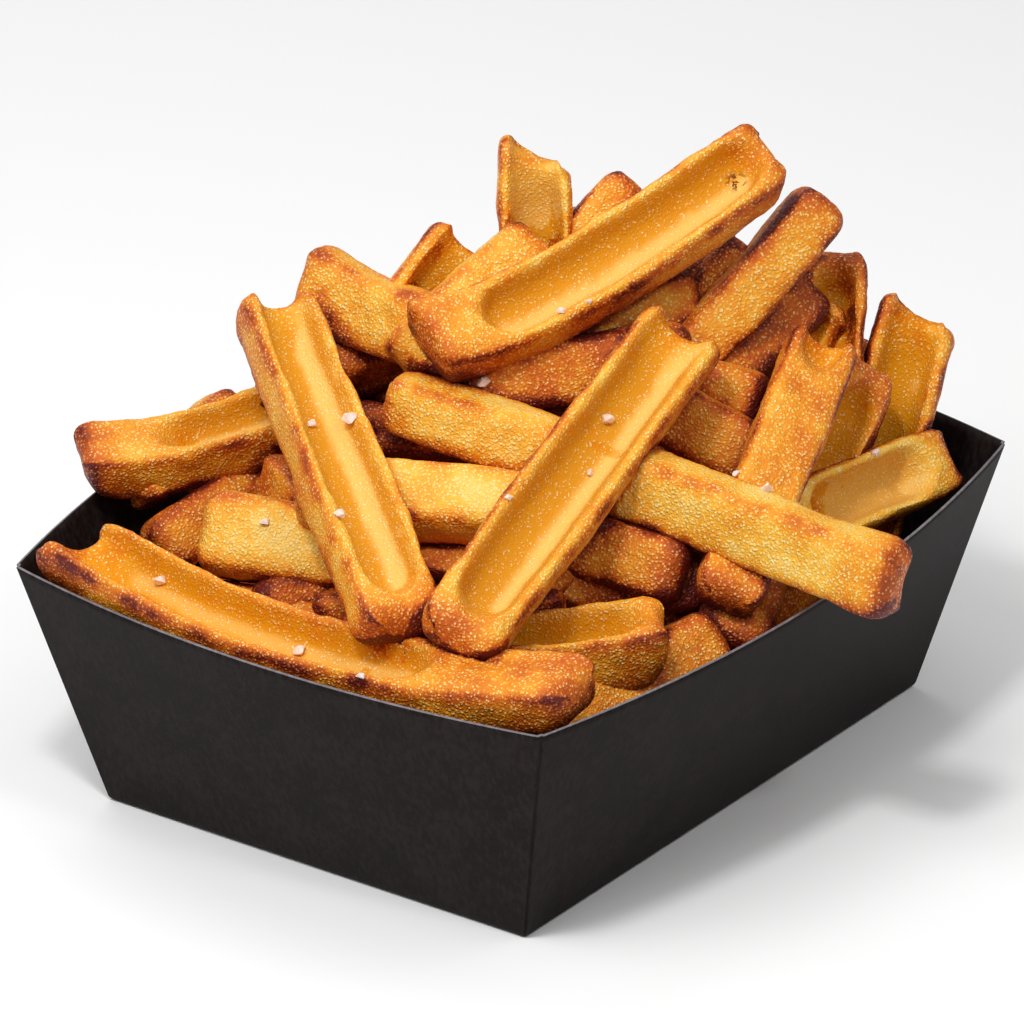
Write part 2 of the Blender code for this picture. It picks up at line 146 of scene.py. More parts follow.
def closed_curve(points: Grid, count: int) -> Grid:
    """Run a smooth closed curve through points, as a Catmull-Rom spline.

    Args:
        points: The curve's own points, in order.
        count: How many points to return, evenly spaced in the parameter.

    Returns:
        The curve's points.
    """
    total = len(points)
    place = np.arange(count) * total / count
    first = np.floor(place).astype(int)
    part = (place - first)[:, None]
    before, here, after, beyond = (points[(first + step) % total] for step in (-1, 0, 1, 2))
    return 0.5 * (
        2.0 * here
        + (after - before) * part
        + (2.0 * before - 5.0 * here + 4.0 * after - beyond) * part ** 2
        + (3.0 * here - before - 3.0 * after + beyond) * part ** 3
    )


def grid_normals(points: Grid) -> Grid:
    """Give the outward unit normal at each point of a tube-like grid.

    It is the cross product of the step around the tube and the step along it.

    Args:
        points: Rings of points, rings along the first axis.

    Returns:
        Unit vectors of the same shape.
    """
    around = np.roll(points, -1, axis=1) - np.roll(points, 1, axis=1)
    along = np.gradient(points, axis=0)
    normal = np.cross(around, along)
    return normal / np.maximum(np.linalg.norm(normal, axis=-1, keepdims=True), TINY)


# Meshes


@dataclass
class MeshParts:
    """Points, faces, the crust's marks and the burnt mark, which grow into one mesh."""

    points: list[Grid] = field(default_factory=list)
    faces: list[list[int]] = field(default_factory=list)
    marks: list[Grid] = field(default_factory=list)
    burnt: list[Grid] = field(default_factory=list)
    count: int = 0

    def add(
        self, points: Grid, faces: list[list[int]], marks: Grid | None = None, burnt: Grid | None = None,
    ) -> None:
        """Add one body.

        Args:
            points: Its points in millimetres, one row each.
            faces: Its faces, numbered from its own first point.
            marks: The crust's four marks for each point, or None for zeros.
            burnt: How burnt each point is, or None for zeros.
        """
        self.faces.extend([number + self.count for number in face] for face in faces)
        self.points.append(points)
        self.marks.append(np.zeros((len(points), 4)) if marks is None else marks)
        self.burnt.append(np.zeros(len(points)) if burnt is None else burnt)
        self.count += len(points)

    def make(self, name: str) -> bpy.types.Object:
        """Make the mesh object, shaded smooth.

        Args:
            name: The object's name.

        Returns:
            The linked object.
        """
        mesh = bpy.data.meshes.new(name)
        points = np.concatenate(self.points) * MM
        mesh.from_pydata(points.tolist(), [], self.faces)
        marks = mesh.attributes.new(CRUST_MARKS, "FLOAT_COLOR", "POINT")
        marks.data.foreach_set("color", np.concatenate(self.marks).ravel())
        burnt = mesh.attributes.new(BURNT_MARK, "FLOAT", "POINT")
        burnt.data.foreach_set("value", np.concatenate(self.burnt).ravel())
        mesh.polygons.foreach_set("use_smooth", np.ones(len(mesh.polygons), dtype=bool))
        mesh.update()
        return linked(name, mesh)


def linked(name: str, data: bpy.types.ID) -> bpy.types.Object:
    """Make an object and link it to the scene, at the origin.

    Args:
        name: Its name.
        data: Its mesh, light or camera.

    Returns:
        The object.
    """
    made = bpy.data.objects.new(name, data)
    bpy.context.scene.collection.objects.link(made)
    return made


def tube_faces(rings: int, around: int) -> list[list[int]]:
    """Number the quads of a tube, facing outwards.

    Args:
        rings: How many rings of points there are.
        around: How many points each ring has.

    Returns:
        The faces as lists of point numbers.
    """
    index = np.arange(rings * around).reshape(rings, around)
    after = np.roll(index, -1, axis=1)
    quads = np.stack([index[:-1], after[:-1], after[1:], index[1:]], axis=-1)
    return quads.reshape(-1, 4).tolist()


def zip_faces(first: int, around: int, facing_back: bool) -> list[list[int]]:
    """Close a tube's end by joining each point to its partner across the wall.

    Point k partners point half-way round minus k, so the faces form a zip
    from one rim to the other.

    Args:
        first: The number of the ring's first point.
        around: How many points the ring has.
        facing_back: Whether the end faces back along the tube.

    Returns:
        The faces as lists of point numbers.
    """
    quarter = around // 4
    near = np.arange(quarter, -quarter - 1, -1)
    far = around // 2 - near
    near, far = near % around + first, far % around + first
    quads = np.stack([near[:-1], near[1:], far[1:], far[:-1]], axis=-1)
    if not facing_back:
        quads = quads[:, ::-1]
    faces = [list(dict.fromkeys(quad)) for quad in quads.tolist()]
    return [face for face in faces if len(face) > 2]


# Shaders


# A smooth rise: the values read as low and high, and what they give
Ramp = tuple[float, float, float, float]


class Nodes:
    """A short way to add and join shader nodes in one tree."""

    # The numbers of a colour Mix node's sockets, whose names repeat
    mix_share = 0
    mix_under = 6
    mix_over = 7
    mix_colour = 2

    def __init__(self, tree: bpy.types.NodeTree) -> None:
        """Keep the tree that the nodes go into."""
        self.tree = tree

    def add(self, kind: str, **settings: object) -> bpy.types.Node:
        """Add a node.

        Args:
            kind: The node's type name, without its ShaderNode part.
            settings: Properties of the node to set.

        Returns:
            The new node.
        """
        node = self.tree.nodes.new("ShaderNode" + kind)
        for name, value in settings.items():
            setattr(node, name, value)
        return node

    def put(self, value: object, socket: bpy.types.NodeSocket) -> None:
        """Join a socket to an input, or set the input's own value.

        Args:
            value: A socket, a number, or a tuple; a colour of three gains its alpha.
            socket: The input.
        """
        if isinstance(value, bpy.types.NodeSocket):
            self.tree.links.new(value, socket)
        elif isinstance(value, tuple) and socket.type == "RGBA":
            socket.default_value = (*value, 1.0)
        else:
            socket.default_value = value

    def feed(self, node: bpy.types.Node, **inputs: object) -> bpy.types.Node:
        """Join sockets or set values on a node's inputs.

        Args:
            node: The node to feed.
            inputs: Socket names, with _ for a space, and a socket or a value.

        Returns:
            The same node.
        """
        for name, value in inputs.items():
            self.put(value, node.inputs[name.replace("_", " ")])
        return node

    def maths(self, operation: str, *values: object) -> bpy.types.NodeSocket:
        """Add a Math node.

        Args:
            operation: The node's operation.
            values: Two or three sockets or numbers.

        Returns:
            Its result.
        """
        node = self.add("Math", operation=operation)
        for value, socket in zip(values, node.inputs):
            self.put(value, socket)
        return node.outputs[0]

    def weigh(self, start: float, *parts: tuple[object, float]) -> bpy.types.NodeSocket:
        """Add up values times their weights, one Math node for each.

        Args:
            start: What the sum starts from.
            parts: Each value and its weight.

        Returns:
            The sum.
        """
        total = start
        for value, weight in parts:
            total = self.maths("MULTIPLY_ADD", value, weight, total)
        return total

    def spread(self, value: object, ramp: Ramp) -> bpy.types.NodeSocket:
        """Add a Map Range node that rises or falls smoothly, and is level outside its ramp.

        Args:
            value: What it reads.
            ramp: Its low and high, and what they give.

        Returns:
            Its result.
        """
        low, high, out_low, out_high = ramp
        node = self.add("MapRange", interpolation_type="SMOOTHSTEP")
        self.feed(node, Value=value, From_Min=low, From_Max=high, To_Min=out_low, To_Max=out_high)
        return node.outputs[0]

    def blend(self, share: object, under: object, over: object) -> bpy.types.NodeSocket:
        """Add a colour Mix node.

        Args:
            share: How much of the upper colour shows.
            under: The lower colour.
            over: The upper colour.

        Returns:
            The mixed colour.
        """
        node = self.add("Mix", data_type="RGBA", clamp_factor=True)
        self.put(share, node.inputs[self.mix_share])
        self.put(under, node.inputs[self.mix_under])
        self.put(over, node.inputs[self.mix_over])
        return node.outputs[self.mix_colour]

    def noise(self, place: object, size: float, detail: float, rough: float = 0.5) -> bpy.types.NodeSocket:
        """Add a Noise Texture.

        Args:
            place: Where it is read.
            size: About how large its bumps are, in metres.
            detail: How many finer layers it has.
            rough: How strong they are.

        Returns:
            Its value, from 0 to 1.
        """
        node = self.add("TexNoise")
        self.feed(node, Vector=place, Scale=1.0 / size, Detail=detail, Roughness=rough)
        return node.outputs["Fac"]

    def emboss(self, shader: bpy.types.Node, height: object, depth: float, strength: float = 1.0) -> None:
        """Give a shader fine relief with a Bump node.

        Args:
            shader: The shader.
            height: The relief, from about 0 to 1.
            depth: How deep it goes, in metres.
            strength: How much of it shows.
        """
        bump = self.feed(self.add("Bump"), Strength=strength, Distance=depth, Height=height)
        self.feed(shader, Normal=bump.outputs["Normal"])


def new_group(
    name: str, takes: dict[str, str], gives: dict[str, str],
) -> tuple[bpy.types.NodeTree, bpy.types.Node, bpy.types.Node]:
    """Start a shader node group with named inputs and outputs.

    Args:
        name: The group's name.
        takes: Each input's name and socket type.
        gives: Each output's name and socket type.

    Returns:
        The group, its input node and its output node.
    """
    group = bpy.data.node_groups.new(name, "ShaderNodeTree")
    for in_out, sockets in (("INPUT", takes), ("OUTPUT", gives)):
        for socket, kind in sockets.items():
            group.interface.new_socket(socket, in_out=in_out, socket_type="NodeSocket" + kind)
    return group, group.nodes.new("NodeGroupInput"), group.nodes.new("NodeGroupOutput")


def blank_material(name: str) -> tuple[bpy.types.Material, Nodes, bpy.types.Node]:
    """Start a material with only its Principled BSDF.

    Args:
        name: The material's name.

    Returns:
        The material, its nodes and its shader.
    """
    made = bpy.data.materials.new(name)
    made.use_nodes = True
    return made, Nodes(made.node_tree), made.node_tree.nodes["Principled BSDF"]


@dataclass(frozen=True)
class CrustGrain:
    """The crust's grain: round crumbs under a millimetre, on broader lumps.

    Sizes are in metres.  The height adds up the crumbs' tops, a fine grit and
    the lumps, by their weights.  A painted glint, a pale dot that stands in for
    a highlight, shows where top and grit are high.
    """

    crumb_size: float = 0.00068
    grit_size: float = 0.00042
    lump_size: float = 0.0019
    patch_size: float = 0.0075
    tops_ramp: Ramp = (0.08, 0.62, 1.0, 0.0)
    glint_ramp: Ramp = (0.70, 0.86, 0.0, 1.0)
    tops_height: float = 0.36
    grit_height: float = 0.8
    lumps_height: float = 0.26
    tops_in_glint: float = 0.3

    def build(self) -> bpy.types.NodeTree:
        """Build the group.

        Returns:
            A group that takes a place and gives a height, a mask of the crumbs'
            tops, a mask of the few painted glints, pale dots that stand in for
            highlights, and a mask of broad patches.
        """
        group, source, result = new_group(
            "crust grain",
            {"Place": "Vector"},
            {"Height": "Float", "Tops": "Float", "Crumbs": "Float", "Patches": "Float"},
        )
        nodes = Nodes(group)
        place = source.outputs["Place"]
        cells = nodes.feed(nodes.add("TexVoronoi"), Vector=place, Scale=1.0 / self.crumb_size)
        tops = nodes.spread(cells.outputs["Distance"], self.tops_ramp)
        grit = nodes.noise(place, self.grit_size, 1.0)
        lumps = nodes.noise(place, self.lump_size, 1.0)
        patches = nodes.noise(place, self.patch_size, 2.0)
        height = nodes.weigh(
            0.0, (grit, self.grit_height), (tops, self.tops_height), (lumps, self.lumps_height),
        )
        # A few pale dots where crumb tops and grit are high: painted glints that stand in for highlights
        pale = nodes.maths("MULTIPLY_ADD", tops, self.tops_in_glint, grit)
        glints = nodes.spread(pale, self.glint_ramp)
        nodes.feed(result, Height=height, Tops=tops, Crumbs=glints, Patches=patches)
        return group


@dataclass(frozen=True)
class BoardFibre:
    """The board's surface: long flecks of fibre over a fine tooth, in metres."""

    fleck_size: float = 0.0011
    tooth_size: float = 0.00035
    cloud_size: float = 0.009
    stretch: float = 0.45
    rough: float = 0.6
    cloud_share: float = 0.35

    def build(self) -> bpy.types.NodeTree:
        """Build the group.

        Returns:
            A group that takes a place and gives a height and a mask of flecks.
        """
        group, source, result = new_group(
            "board fibre", {"Place": "Vector"}, {"Height": "Float", "Flecks": "Float"},
        )
        nodes = Nodes(group)
        place = source.outputs["Place"]
        drawn = nodes.feed(nodes.add("Mapping"), Vector=place, Scale=(1.0, 1.0, self.stretch))
        flecks = nodes.noise(drawn.outputs[0], self.fleck_size, 4.0, self.rough)
        tooth = nodes.noise(place, self.tooth_size, 2.0, self.rough)
        cloud = nodes.noise(place, self.cloud_size, 3.0)
        mask = nodes.weigh(0.0, (cloud, self.cloud_share), (flecks, 1.0 - self.cloud_share))
        nodes.feed(result, Height=nodes.maths("ADD", flecks, tooth), Flecks=mask)
        return group


@dataclass(frozen=True)
class CrustFinish:
    """Fried potato: golden crust, browned rims and ends, soft amber trough.

    The shades run from pale to burnt, each at its place on the scale of
    browning.  Browning adds up the fry's own tone with its painted shade and
    painted light, its end and rim marks, the patches and the crumbs' tops, by
    their weights, from a start below zero; the tops' weight paints shade into
    the pits between crumbs.  A trough has its own amber and a pale that is
    partly a painted highlight, until it is well browned.  Painted glints, pale
    dots that stand in for highlights, lie over it all.
    """

    name: str = "fried crust"
    shades: tuple[tuple[float, Colour], ...] = (
        (0.00, (0.95, 0.66, 0.170)),
        (0.20, (0.91, 0.47, 0.040)),
        (0.43, (0.82, 0.280, 0.008)),
        (0.68, (0.58, 0.105, 0.002)),
        (1.00, (0.13, 0.006, 0.001)),
    )
    # The painted glints' pale colour, which stands in for highlights
    glint: Colour = (1.0, 0.78, 0.42)
    trough: Colour = (0.67, 0.265, 0.002)
    # The trough's paler colour: partly the flesh of lightly fried fries, partly a painted highlight on the
    # side that faces the key light
    pale: Colour = (0.94, 0.58, 0.150)
    burnt: Colour = (0.16, 0.045, 0.006)
    gloss: float = 0.17
    dull: float = 0.38
    shine: float = 0.36
    relief: float = 0.00040
    start: float = -0.21
    tone_and_shading_weight: float = 0.62
    end_weight: float = 0.46
    rim_weight: float = 0.40
    patch_weight: float = 0.70
    # Below zero: crumb tops drawn lighter and the pits between them darker, a painted shade
    pit_shade_weight: float = -0.30
    rim_patches: Ramp = (0.34, 0.62, 0.55, 1.1)
    # How pale the trough is by its tone, which holds the painted highlight on its lit side
    pale_by_tone_and_light: Ramp = (-0.15, 0.40, 0.80, 0.0)
    trough_browned: Ramp = (0.30, 0.80, 0.0, 0.95)
    glints_in_trough: Ramp = (0.0, 1.0, 0.75, 0.60)
    glints_browned: Ramp = (0.30, 0.85, 1.0, 0.15)
    relief_in_trough: Ramp = (0.0, 1.0, 1.0, 0.62)
    char_size: float = 0.0013
    char_edge: Ramp = (0.50, 0.54, 0.0, 1.0)

    def scale(self, nodes: Nodes, browning: bpy.types.NodeSocket) -> bpy.types.NodeSocket:
        """Read the scale of browning, whose own first and last stops stand at 0 and 1.

        Args:
            nodes: The material's nodes.
            browning: How brown the crust is.

        Returns:
            The shade's colour.
        """
        scale = nodes.feed(nodes.add("ValToRGB"), Fac=browning)
        stops = scale.color_ramp.elements
        for place, _ in self.shades[1:-1]:
            stops.new(place)
        for stop, (_, shade) in zip(stops, self.shades):
            stop.color = (*shade, 1.0)
        return scale.outputs["Color"]

    def build(self, grain: bpy.types.NodeTree) -> bpy.types.Material:
        """Build the material.

        Args:
            grain: The crust's grain group.

        Returns:
            The material.
        """
        made, nodes, shader = blank_material(self.name)
        place = nodes.add("TexCoord").outputs["Object"]
        look = nodes.feed(nodes.add("Group", node_tree=grain), Place=place)
        tops, patches = look.outputs["Tops"], look.outputs["Patches"]
        marks = nodes.add("Attribute", attribute_name=CRUST_MARKS)
        # The alpha holds the fry's own tone, plus painted shade where the crust is crowded or faces down,
        # less a painted highlight on the trough's lit side
        tone_and_shading = marks.outputs["Alpha"]
        end, rim, scoop = nodes.feed(nodes.add("SeparateColor"), Color=marks.outputs["Color"]).outputs
        rim = nodes.maths("MULTIPLY", rim, nodes.spread(patches, self.rim_patches))
        # The crumbs' tops lighten the crust, which paints shade into the pits between them
        browning = nodes.weigh(
            self.start, (tone_and_shading, self.tone_and_shading_weight), (end, self.end_weight), (rim, self.rim_weight),
            (patches, self.patch_weight), (tops, self.pit_shade_weight),
        )

        crust = self.scale(nodes, browning)
        # The trough turns pale where its tone is low: on light fries, and as a painted highlight on the
        # side facing the key light
        soft = nodes.blend(nodes.spread(tone_and_shading, self.pale_by_tone_and_light), self.trough, self.pale)
        soft = nodes.blend(nodes.spread(browning, self.trough_browned), soft, crust)
        colour = nodes.blend(scoop, crust, soft)
        # Painted glints: pale dots that stand in for highlights, fewer in the trough and on browned crust
        glints = nodes.spread(scoop, self.glints_in_trough)
        glints = nodes.maths("MULTIPLY", look.outputs["Crumbs"], glints)
        glints = nodes.maths("MULTIPLY", glints, nodes.spread(browning, self.glints_browned))
        colour = nodes.blend(glints, colour, self.glint)
        char = nodes.add("Attribute", attribute_name=BURNT_MARK).outputs["Fac"]
        crack = nodes.noise(place, self.char_size, 3.0, 0.7)
        char = nodes.maths("MULTIPLY", char, nodes.spread(crack, self.char_edge))
        colour = nodes.blend(char, colour, self.burnt)

        rough = nodes.spread(tops, (0.0, 1.0, self.gloss + self.dull, self.gloss))
        nodes.feed(shader, Base_Color=colour, Roughness=rough, Specular_IOR_Level=self.shine)
        calm = nodes.spread(scoop, self.relief_in_trough)
        nodes.emboss(shader, nodes.maths("MULTIPLY", look.outputs["Height"], calm), self.relief)
        return made


@dataclass(frozen=True)
class BoardFinish:
    """Matte paperboard, dyed through, with a fine fibre."""

    name: str
    colour: Colour
    fleck: Colour
    rough: float = 0.62
    shine: float = 0.1
    relief: float = 0.00006
    flecks_ramp: Ramp = (0.40, 0.64, 0.0, 1.0)
    rough_ramp: tuple[float, float] = (0.3, 0.7)
    rough_range: tuple[float, float] = (-0.05, 0.06)
    relief_share: float = 0.5

    def build(self, fibre: bpy.types.NodeTree) -> bpy.types.Material:
        """Build the material.

        Args:
            fibre: The board's fibre group.

        Returns:
            The material.
        """
        made, nodes, shader = blank_material(self.name)
        place = nodes.add("TexCoord").outputs["Object"]
        look = nodes.feed(nodes.add("Group", node_tree=fibre), Place=place)
        flecks = look.outputs["Flecks"]
        colour = nodes.blend(nodes.spread(flecks, self.flecks_ramp), self.colour, self.fleck)
        levels = (self.rough + change for change in self.rough_range)
        rough = nodes.spread(flecks, (*self.rough_ramp, *levels))
        nodes.feed(shader, Base_Color=colour, Roughness=rough, Specular_IOR_Level=self.shine)
        nodes.emboss(shader, look.outputs["Height"], self.relief, self.relief_share)
        return made


@dataclass(frozen=True)
class SaltFinish:
    """Coarse salt: milky crystals that let a little light through."""

    name: str = "salt crystal"
    colour: Colour = (0.90, 0.76, 0.70)
    dull: Colour = (0.84, 0.60, 0.48)
    cloud_size: float = 0.0009
    dull_ramp: Ramp = (0.35, 0.65, 0.0, 1.0)
    rough_ramp: Ramp = (0.3, 0.7, 0.18, 0.4)
    through: float = 0.5
    through_way: tuple[float, float, float] = (1.0, 0.8, 0.7)
    through_scale: float = 0.001

    def build(self) -> bpy.types.Material:
        """Build the material.

        Returns:
            The material.
        """
        made, nodes, shader = blank_material(self.name)
        cloud = nodes.noise(nodes.add("TexCoord").outputs["Object"], self.cloud_size, 3.0)
        colour = nodes.blend(nodes.spread(cloud, self.dull_ramp), self.colour, self.dull)
        nodes.feed(
            shader, Base_Color=colour, Roughness=nodes.spread(cloud, self.rough_ramp),
            Subsurface_Weight=self.through, Subsurface_Radius=self.through_way,
            Subsurface_Scale=self.through_scale,
        )
        return made


# Tray


@dataclass
class Tray:
    """The folded board tray: a flat base and four walls that lean and bow out.

    Sizes are the outer faces', and the laps are the long walls' glued panels,
    which end a small gap before each corner.
    """

    base_half_x: float = 64.0
    base_half_y: float = 48.0
    rim_half_x: float = 76.3
    rim_half_y: float = 60.0
    height: float = 50.5
    board: float = 0.5
    long_wall_bow: float = 10.0
    short_wall_bow: float = 6.8
    lap_step: float = 0.45
    lap_run: float = 0.12
    lap_gap_at_base: float = 0.3
    lap_gap_at_rim: float = 0.9
    fold_radius: float = 1.1
    long_points: int = 64
    short_points: int = 52
    courses: int = 30
    fold_steps: int = 5
    base_steps: int = 10
    base_share: tuple[float, float] = (0.04, 0.97)
    rim_slack: float = 0.6
    crease: float = 38.0

    def half_sizes(self, height: Grid | float) -> tuple[Grid, Grid, Grid]:
        """Give the outer half sizes at a height, and the share of the height.

        They grow in proportion to the height from the base to the rim.

        Args:
            height: Millimetres above the base.

        Returns:
            The half sizes along x and y, and the share from 0 to 1.
        """
        share = np.asarray(height) / self.height
        half_x = self.base_half_x + (self.rim_half_x - self.base_half_x) * share
        half_y = self.base_half_y + (self.rim_half_y - self.base_half_y) * share
        return half_x, half_y, share

    @staticmethod
    def bow(along: Grid, half: Grid | float) -> Grid:
        """Give the bow's share: a parabola, 1 mid-wall and 0 at its ends."""
        share = np.clip((along + half) / (2.0 * half), 0.0, 1.0)
        return 4.0 * share * (1.0 - share)

    def outside_by(self, points: Grid, margin: float, floor: float) -> float:
        """Tell how far points below the rim reach past the walls' inner faces.

        Args:
            points: Places in millimetres.
            margin: Room to keep to the outer faces.
            floor: Lowest height allowed.

        Returns:
            The largest overshoot, or 0.
        """
        below = points[points[:, 2] < self.height + self.rim_slack]
        if len(below) == 0:
            return 0.0
        half_x, half_y, share = self.half_sizes(np.clip(below[:, 2], 0.0, self.height))
        limit_x = half_x + self.short_wall_bow * self.bow(below[:, 1], half_y) * share - margin
        limit_y = half_y + self.long_wall_bow * self.bow(below[:, 0], half_x) * share - margin
        over = np.maximum(np.abs(below[:, 0]) - limit_x, np.abs(below[:, 1]) - limit_y)
        return float(max(over.max(), (floor - below[:, 2]).max(), 0.0))

    def course(self, share: float) -> Grid:
        """Give the tray's outline at a share of its height.

        Each wall is a straight line between two corners plus a parabola times
        the share, and the long walls' glued panels stand a board proud.

        Args:
            share: 0 at the base and 1 at the rim.

        Returns:
            The outline's points, starting at the near left corner.
        """
        half_x, half_y, _ = self.half_sizes(self.height * share)
        gap = self.lap_gap_at_base + (self.lap_gap_at_rim - self.lap_gap_at_base) * share
        panel = half_x - gap - self.lap_run
        inner = np.linspace(-panel, panel, self.long_points)
        along = np.concatenate([[-half_x, -half_x + gap], inner, [half_x - gap]])
        proud = np.where(np.abs(along) <= half_x - gap - self.lap_run * 0.5, self.lap_step, 0.0)
        out = half_y + self.long_wall_bow * self.bow(along, half_x) * share + proud
        front = np.stack([along, -out], axis=-1)
        along = np.linspace(-half_y, half_y, self.short_points, endpoint=False)
        out = half_x + self.short_wall_bow * self.bow(along, half_y) * share
        side = np.stack([out, along], axis=-1)
        half_turn = np.concatenate([front, side])
        outline = np.concatenate([half_turn, -half_turn])
        return np.column_stack([outline, np.full(len(outline), self.height * share)])

    def rings(self) -> Grid:
        """Give the rings of points from the middle of the base up to the rim.

        The base's rings shrink the outline towards the middle, the fold rounds
        the edge by a quarter turn, and the walls follow the outline.

        Returns:
            The rings, with x, y and z along the last axis.
        """
        foot = self.course(0.0)
        sizes = np.linspace(*self.base_share, self.base_steps)
        found = [foot * (1.0, 1.0, 0.0) * size for size in sizes]
        turn = np.linspace(0.0, 0.5 * math.pi, self.fold_steps)
        reach = np.abs(foot[:, :2]).max(axis=0)
        for angle in turn:
            share = self.fold_radius * (1.0 - math.cos(angle)) / self.height
            ring = self.course(share)
            inset = self.fold_radius * (1.0 - math.sin(angle))
            ring[:, :2] *= 1.0 - inset / reach
            found.append(ring)
        start = self.fold_radius / self.height
        found += [self.course(share) for share in np.linspace(start, 1.0, self.courses)[1:]]
        return np.array(found)

    def build(self, finishes: list[bpy.types.Material]) -> bpy.types.Object:
        """Build the tray as an open sheet with the board's thickness.

        Args:
            finishes: The board's material and its cut edge's.

        Returns:
            The tray.
        """
        rings = self.rings()
        count, around, _ = rings.shape
        hub = count * around
        first = np.arange(around)
        faces = tube_faces(count, around)
        faces += np.stack([np.full(around, hub), np.roll(first, -1), first], axis=-1).tolist()
        parts = MeshParts()
        parts.add(np.concatenate([rings.reshape(-1, 3), np.zeros((1, 3))]), faces)
        tray = parts.make("tray")
        for finish in finishes:
            tray.data.materials.append(finish)
        sheet = tray.modifiers.new("board", "SOLIDIFY")
        sheet.thickness = self.board * MM
        sheet.offset = -1.0
        sheet.use_even_offset = True
        sheet.material_offset_rim = 1
        sheet.use_quality_normals = True
        tray.data.set_sharp_from_angle(angle=math.radians(self.crease))
        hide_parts("carton")
        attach(tray, "root")
        LOG.info("tray: %d faces", len(faces))
        return tray


# Fries


class Fried(Enum):
    """How dark a fry is fried: the tone that its crust starts from."""

    # The darker levels, on the buried and low fries and the core, are partly painted shade
    LIGHT = 0.12
    GOLDEN = 0.32
    AMBER = 0.44
    DEEP = 0.56
    BROWN = 0.72
    DARK = 0.92


class Fineness(Enum):
    """How finely a fry's surface is drawn: points around, and millimetres between rings."""

    CLOSE = (84, 0.78)
    FAR = (56, 1.1)
    UNDER = (40, 1.5)


@dataclass(frozen=True)
class Fry:
    """One fry: millimetres, and degrees for the three turns.

    A roll of 0 turns the trough up and 90 turns it to the right of the way
    from tail to tip.  The trough's start and end are shares of the length,
    and an end of 1 means that it runs out through the tip.  Sag and sway bend
    the fry down and to its right, most at the share bend_at, skew slants its
    open end and notch sinks the trough's mouth.  Ends says how brown the tail
    and tip are, blunt how long their rounding is, as a share of the thickness,
    and ramp how long the trough's slope down is.  A fry marked under only fills
    between the others, and is drawn less finely.
    """

    centre: tuple[float, float, float]
    heading: float
    pitch: float
    length: float
    roll: float = 0.0
    width: float = 14.0
    thickness: float = 11.0
    trough: tuple[float, ...] = ()
    sag: float = 0.0
    sway: float = 0.0
    bend_at: float = 0.5
    tail_width: float = 1.0
    tip_width: float = 1.0
    skew: float = 0.0
    notch: float = 0.0
    fried: Fried = Fried.GOLDEN
    ends: tuple[float, float] = (0.6, 0.6)
    blunt: tuple[float, float] = (0.5, 0.5)
    ramp: float = 6.0
    under: bool = False

    def runs_out(self) -> bool:
        """Tell whether the trough runs out through the tip."""
        return bool(self.trough) and self.trough[1] >= 1.0

    def axes(self) -> tuple[Grid, Grid, Grid]:
        """Turn the heading and pitch into the fry's own axes.

        Returns:
            The unit vectors along the fry, to its right and up from it.
        """
        heading, pitch = math.radians(self.heading), math.radians(self.pitch)
        along = np.array([
            math.cos(pitch) * math.cos(heading),
            math.cos(pitch) * math.sin(heading),
            math.sin(pitch),
        ])
        right = np.array([math.sin(heading), -math.cos(heading), 0.0])
        return along, right, np.cross(right, along)


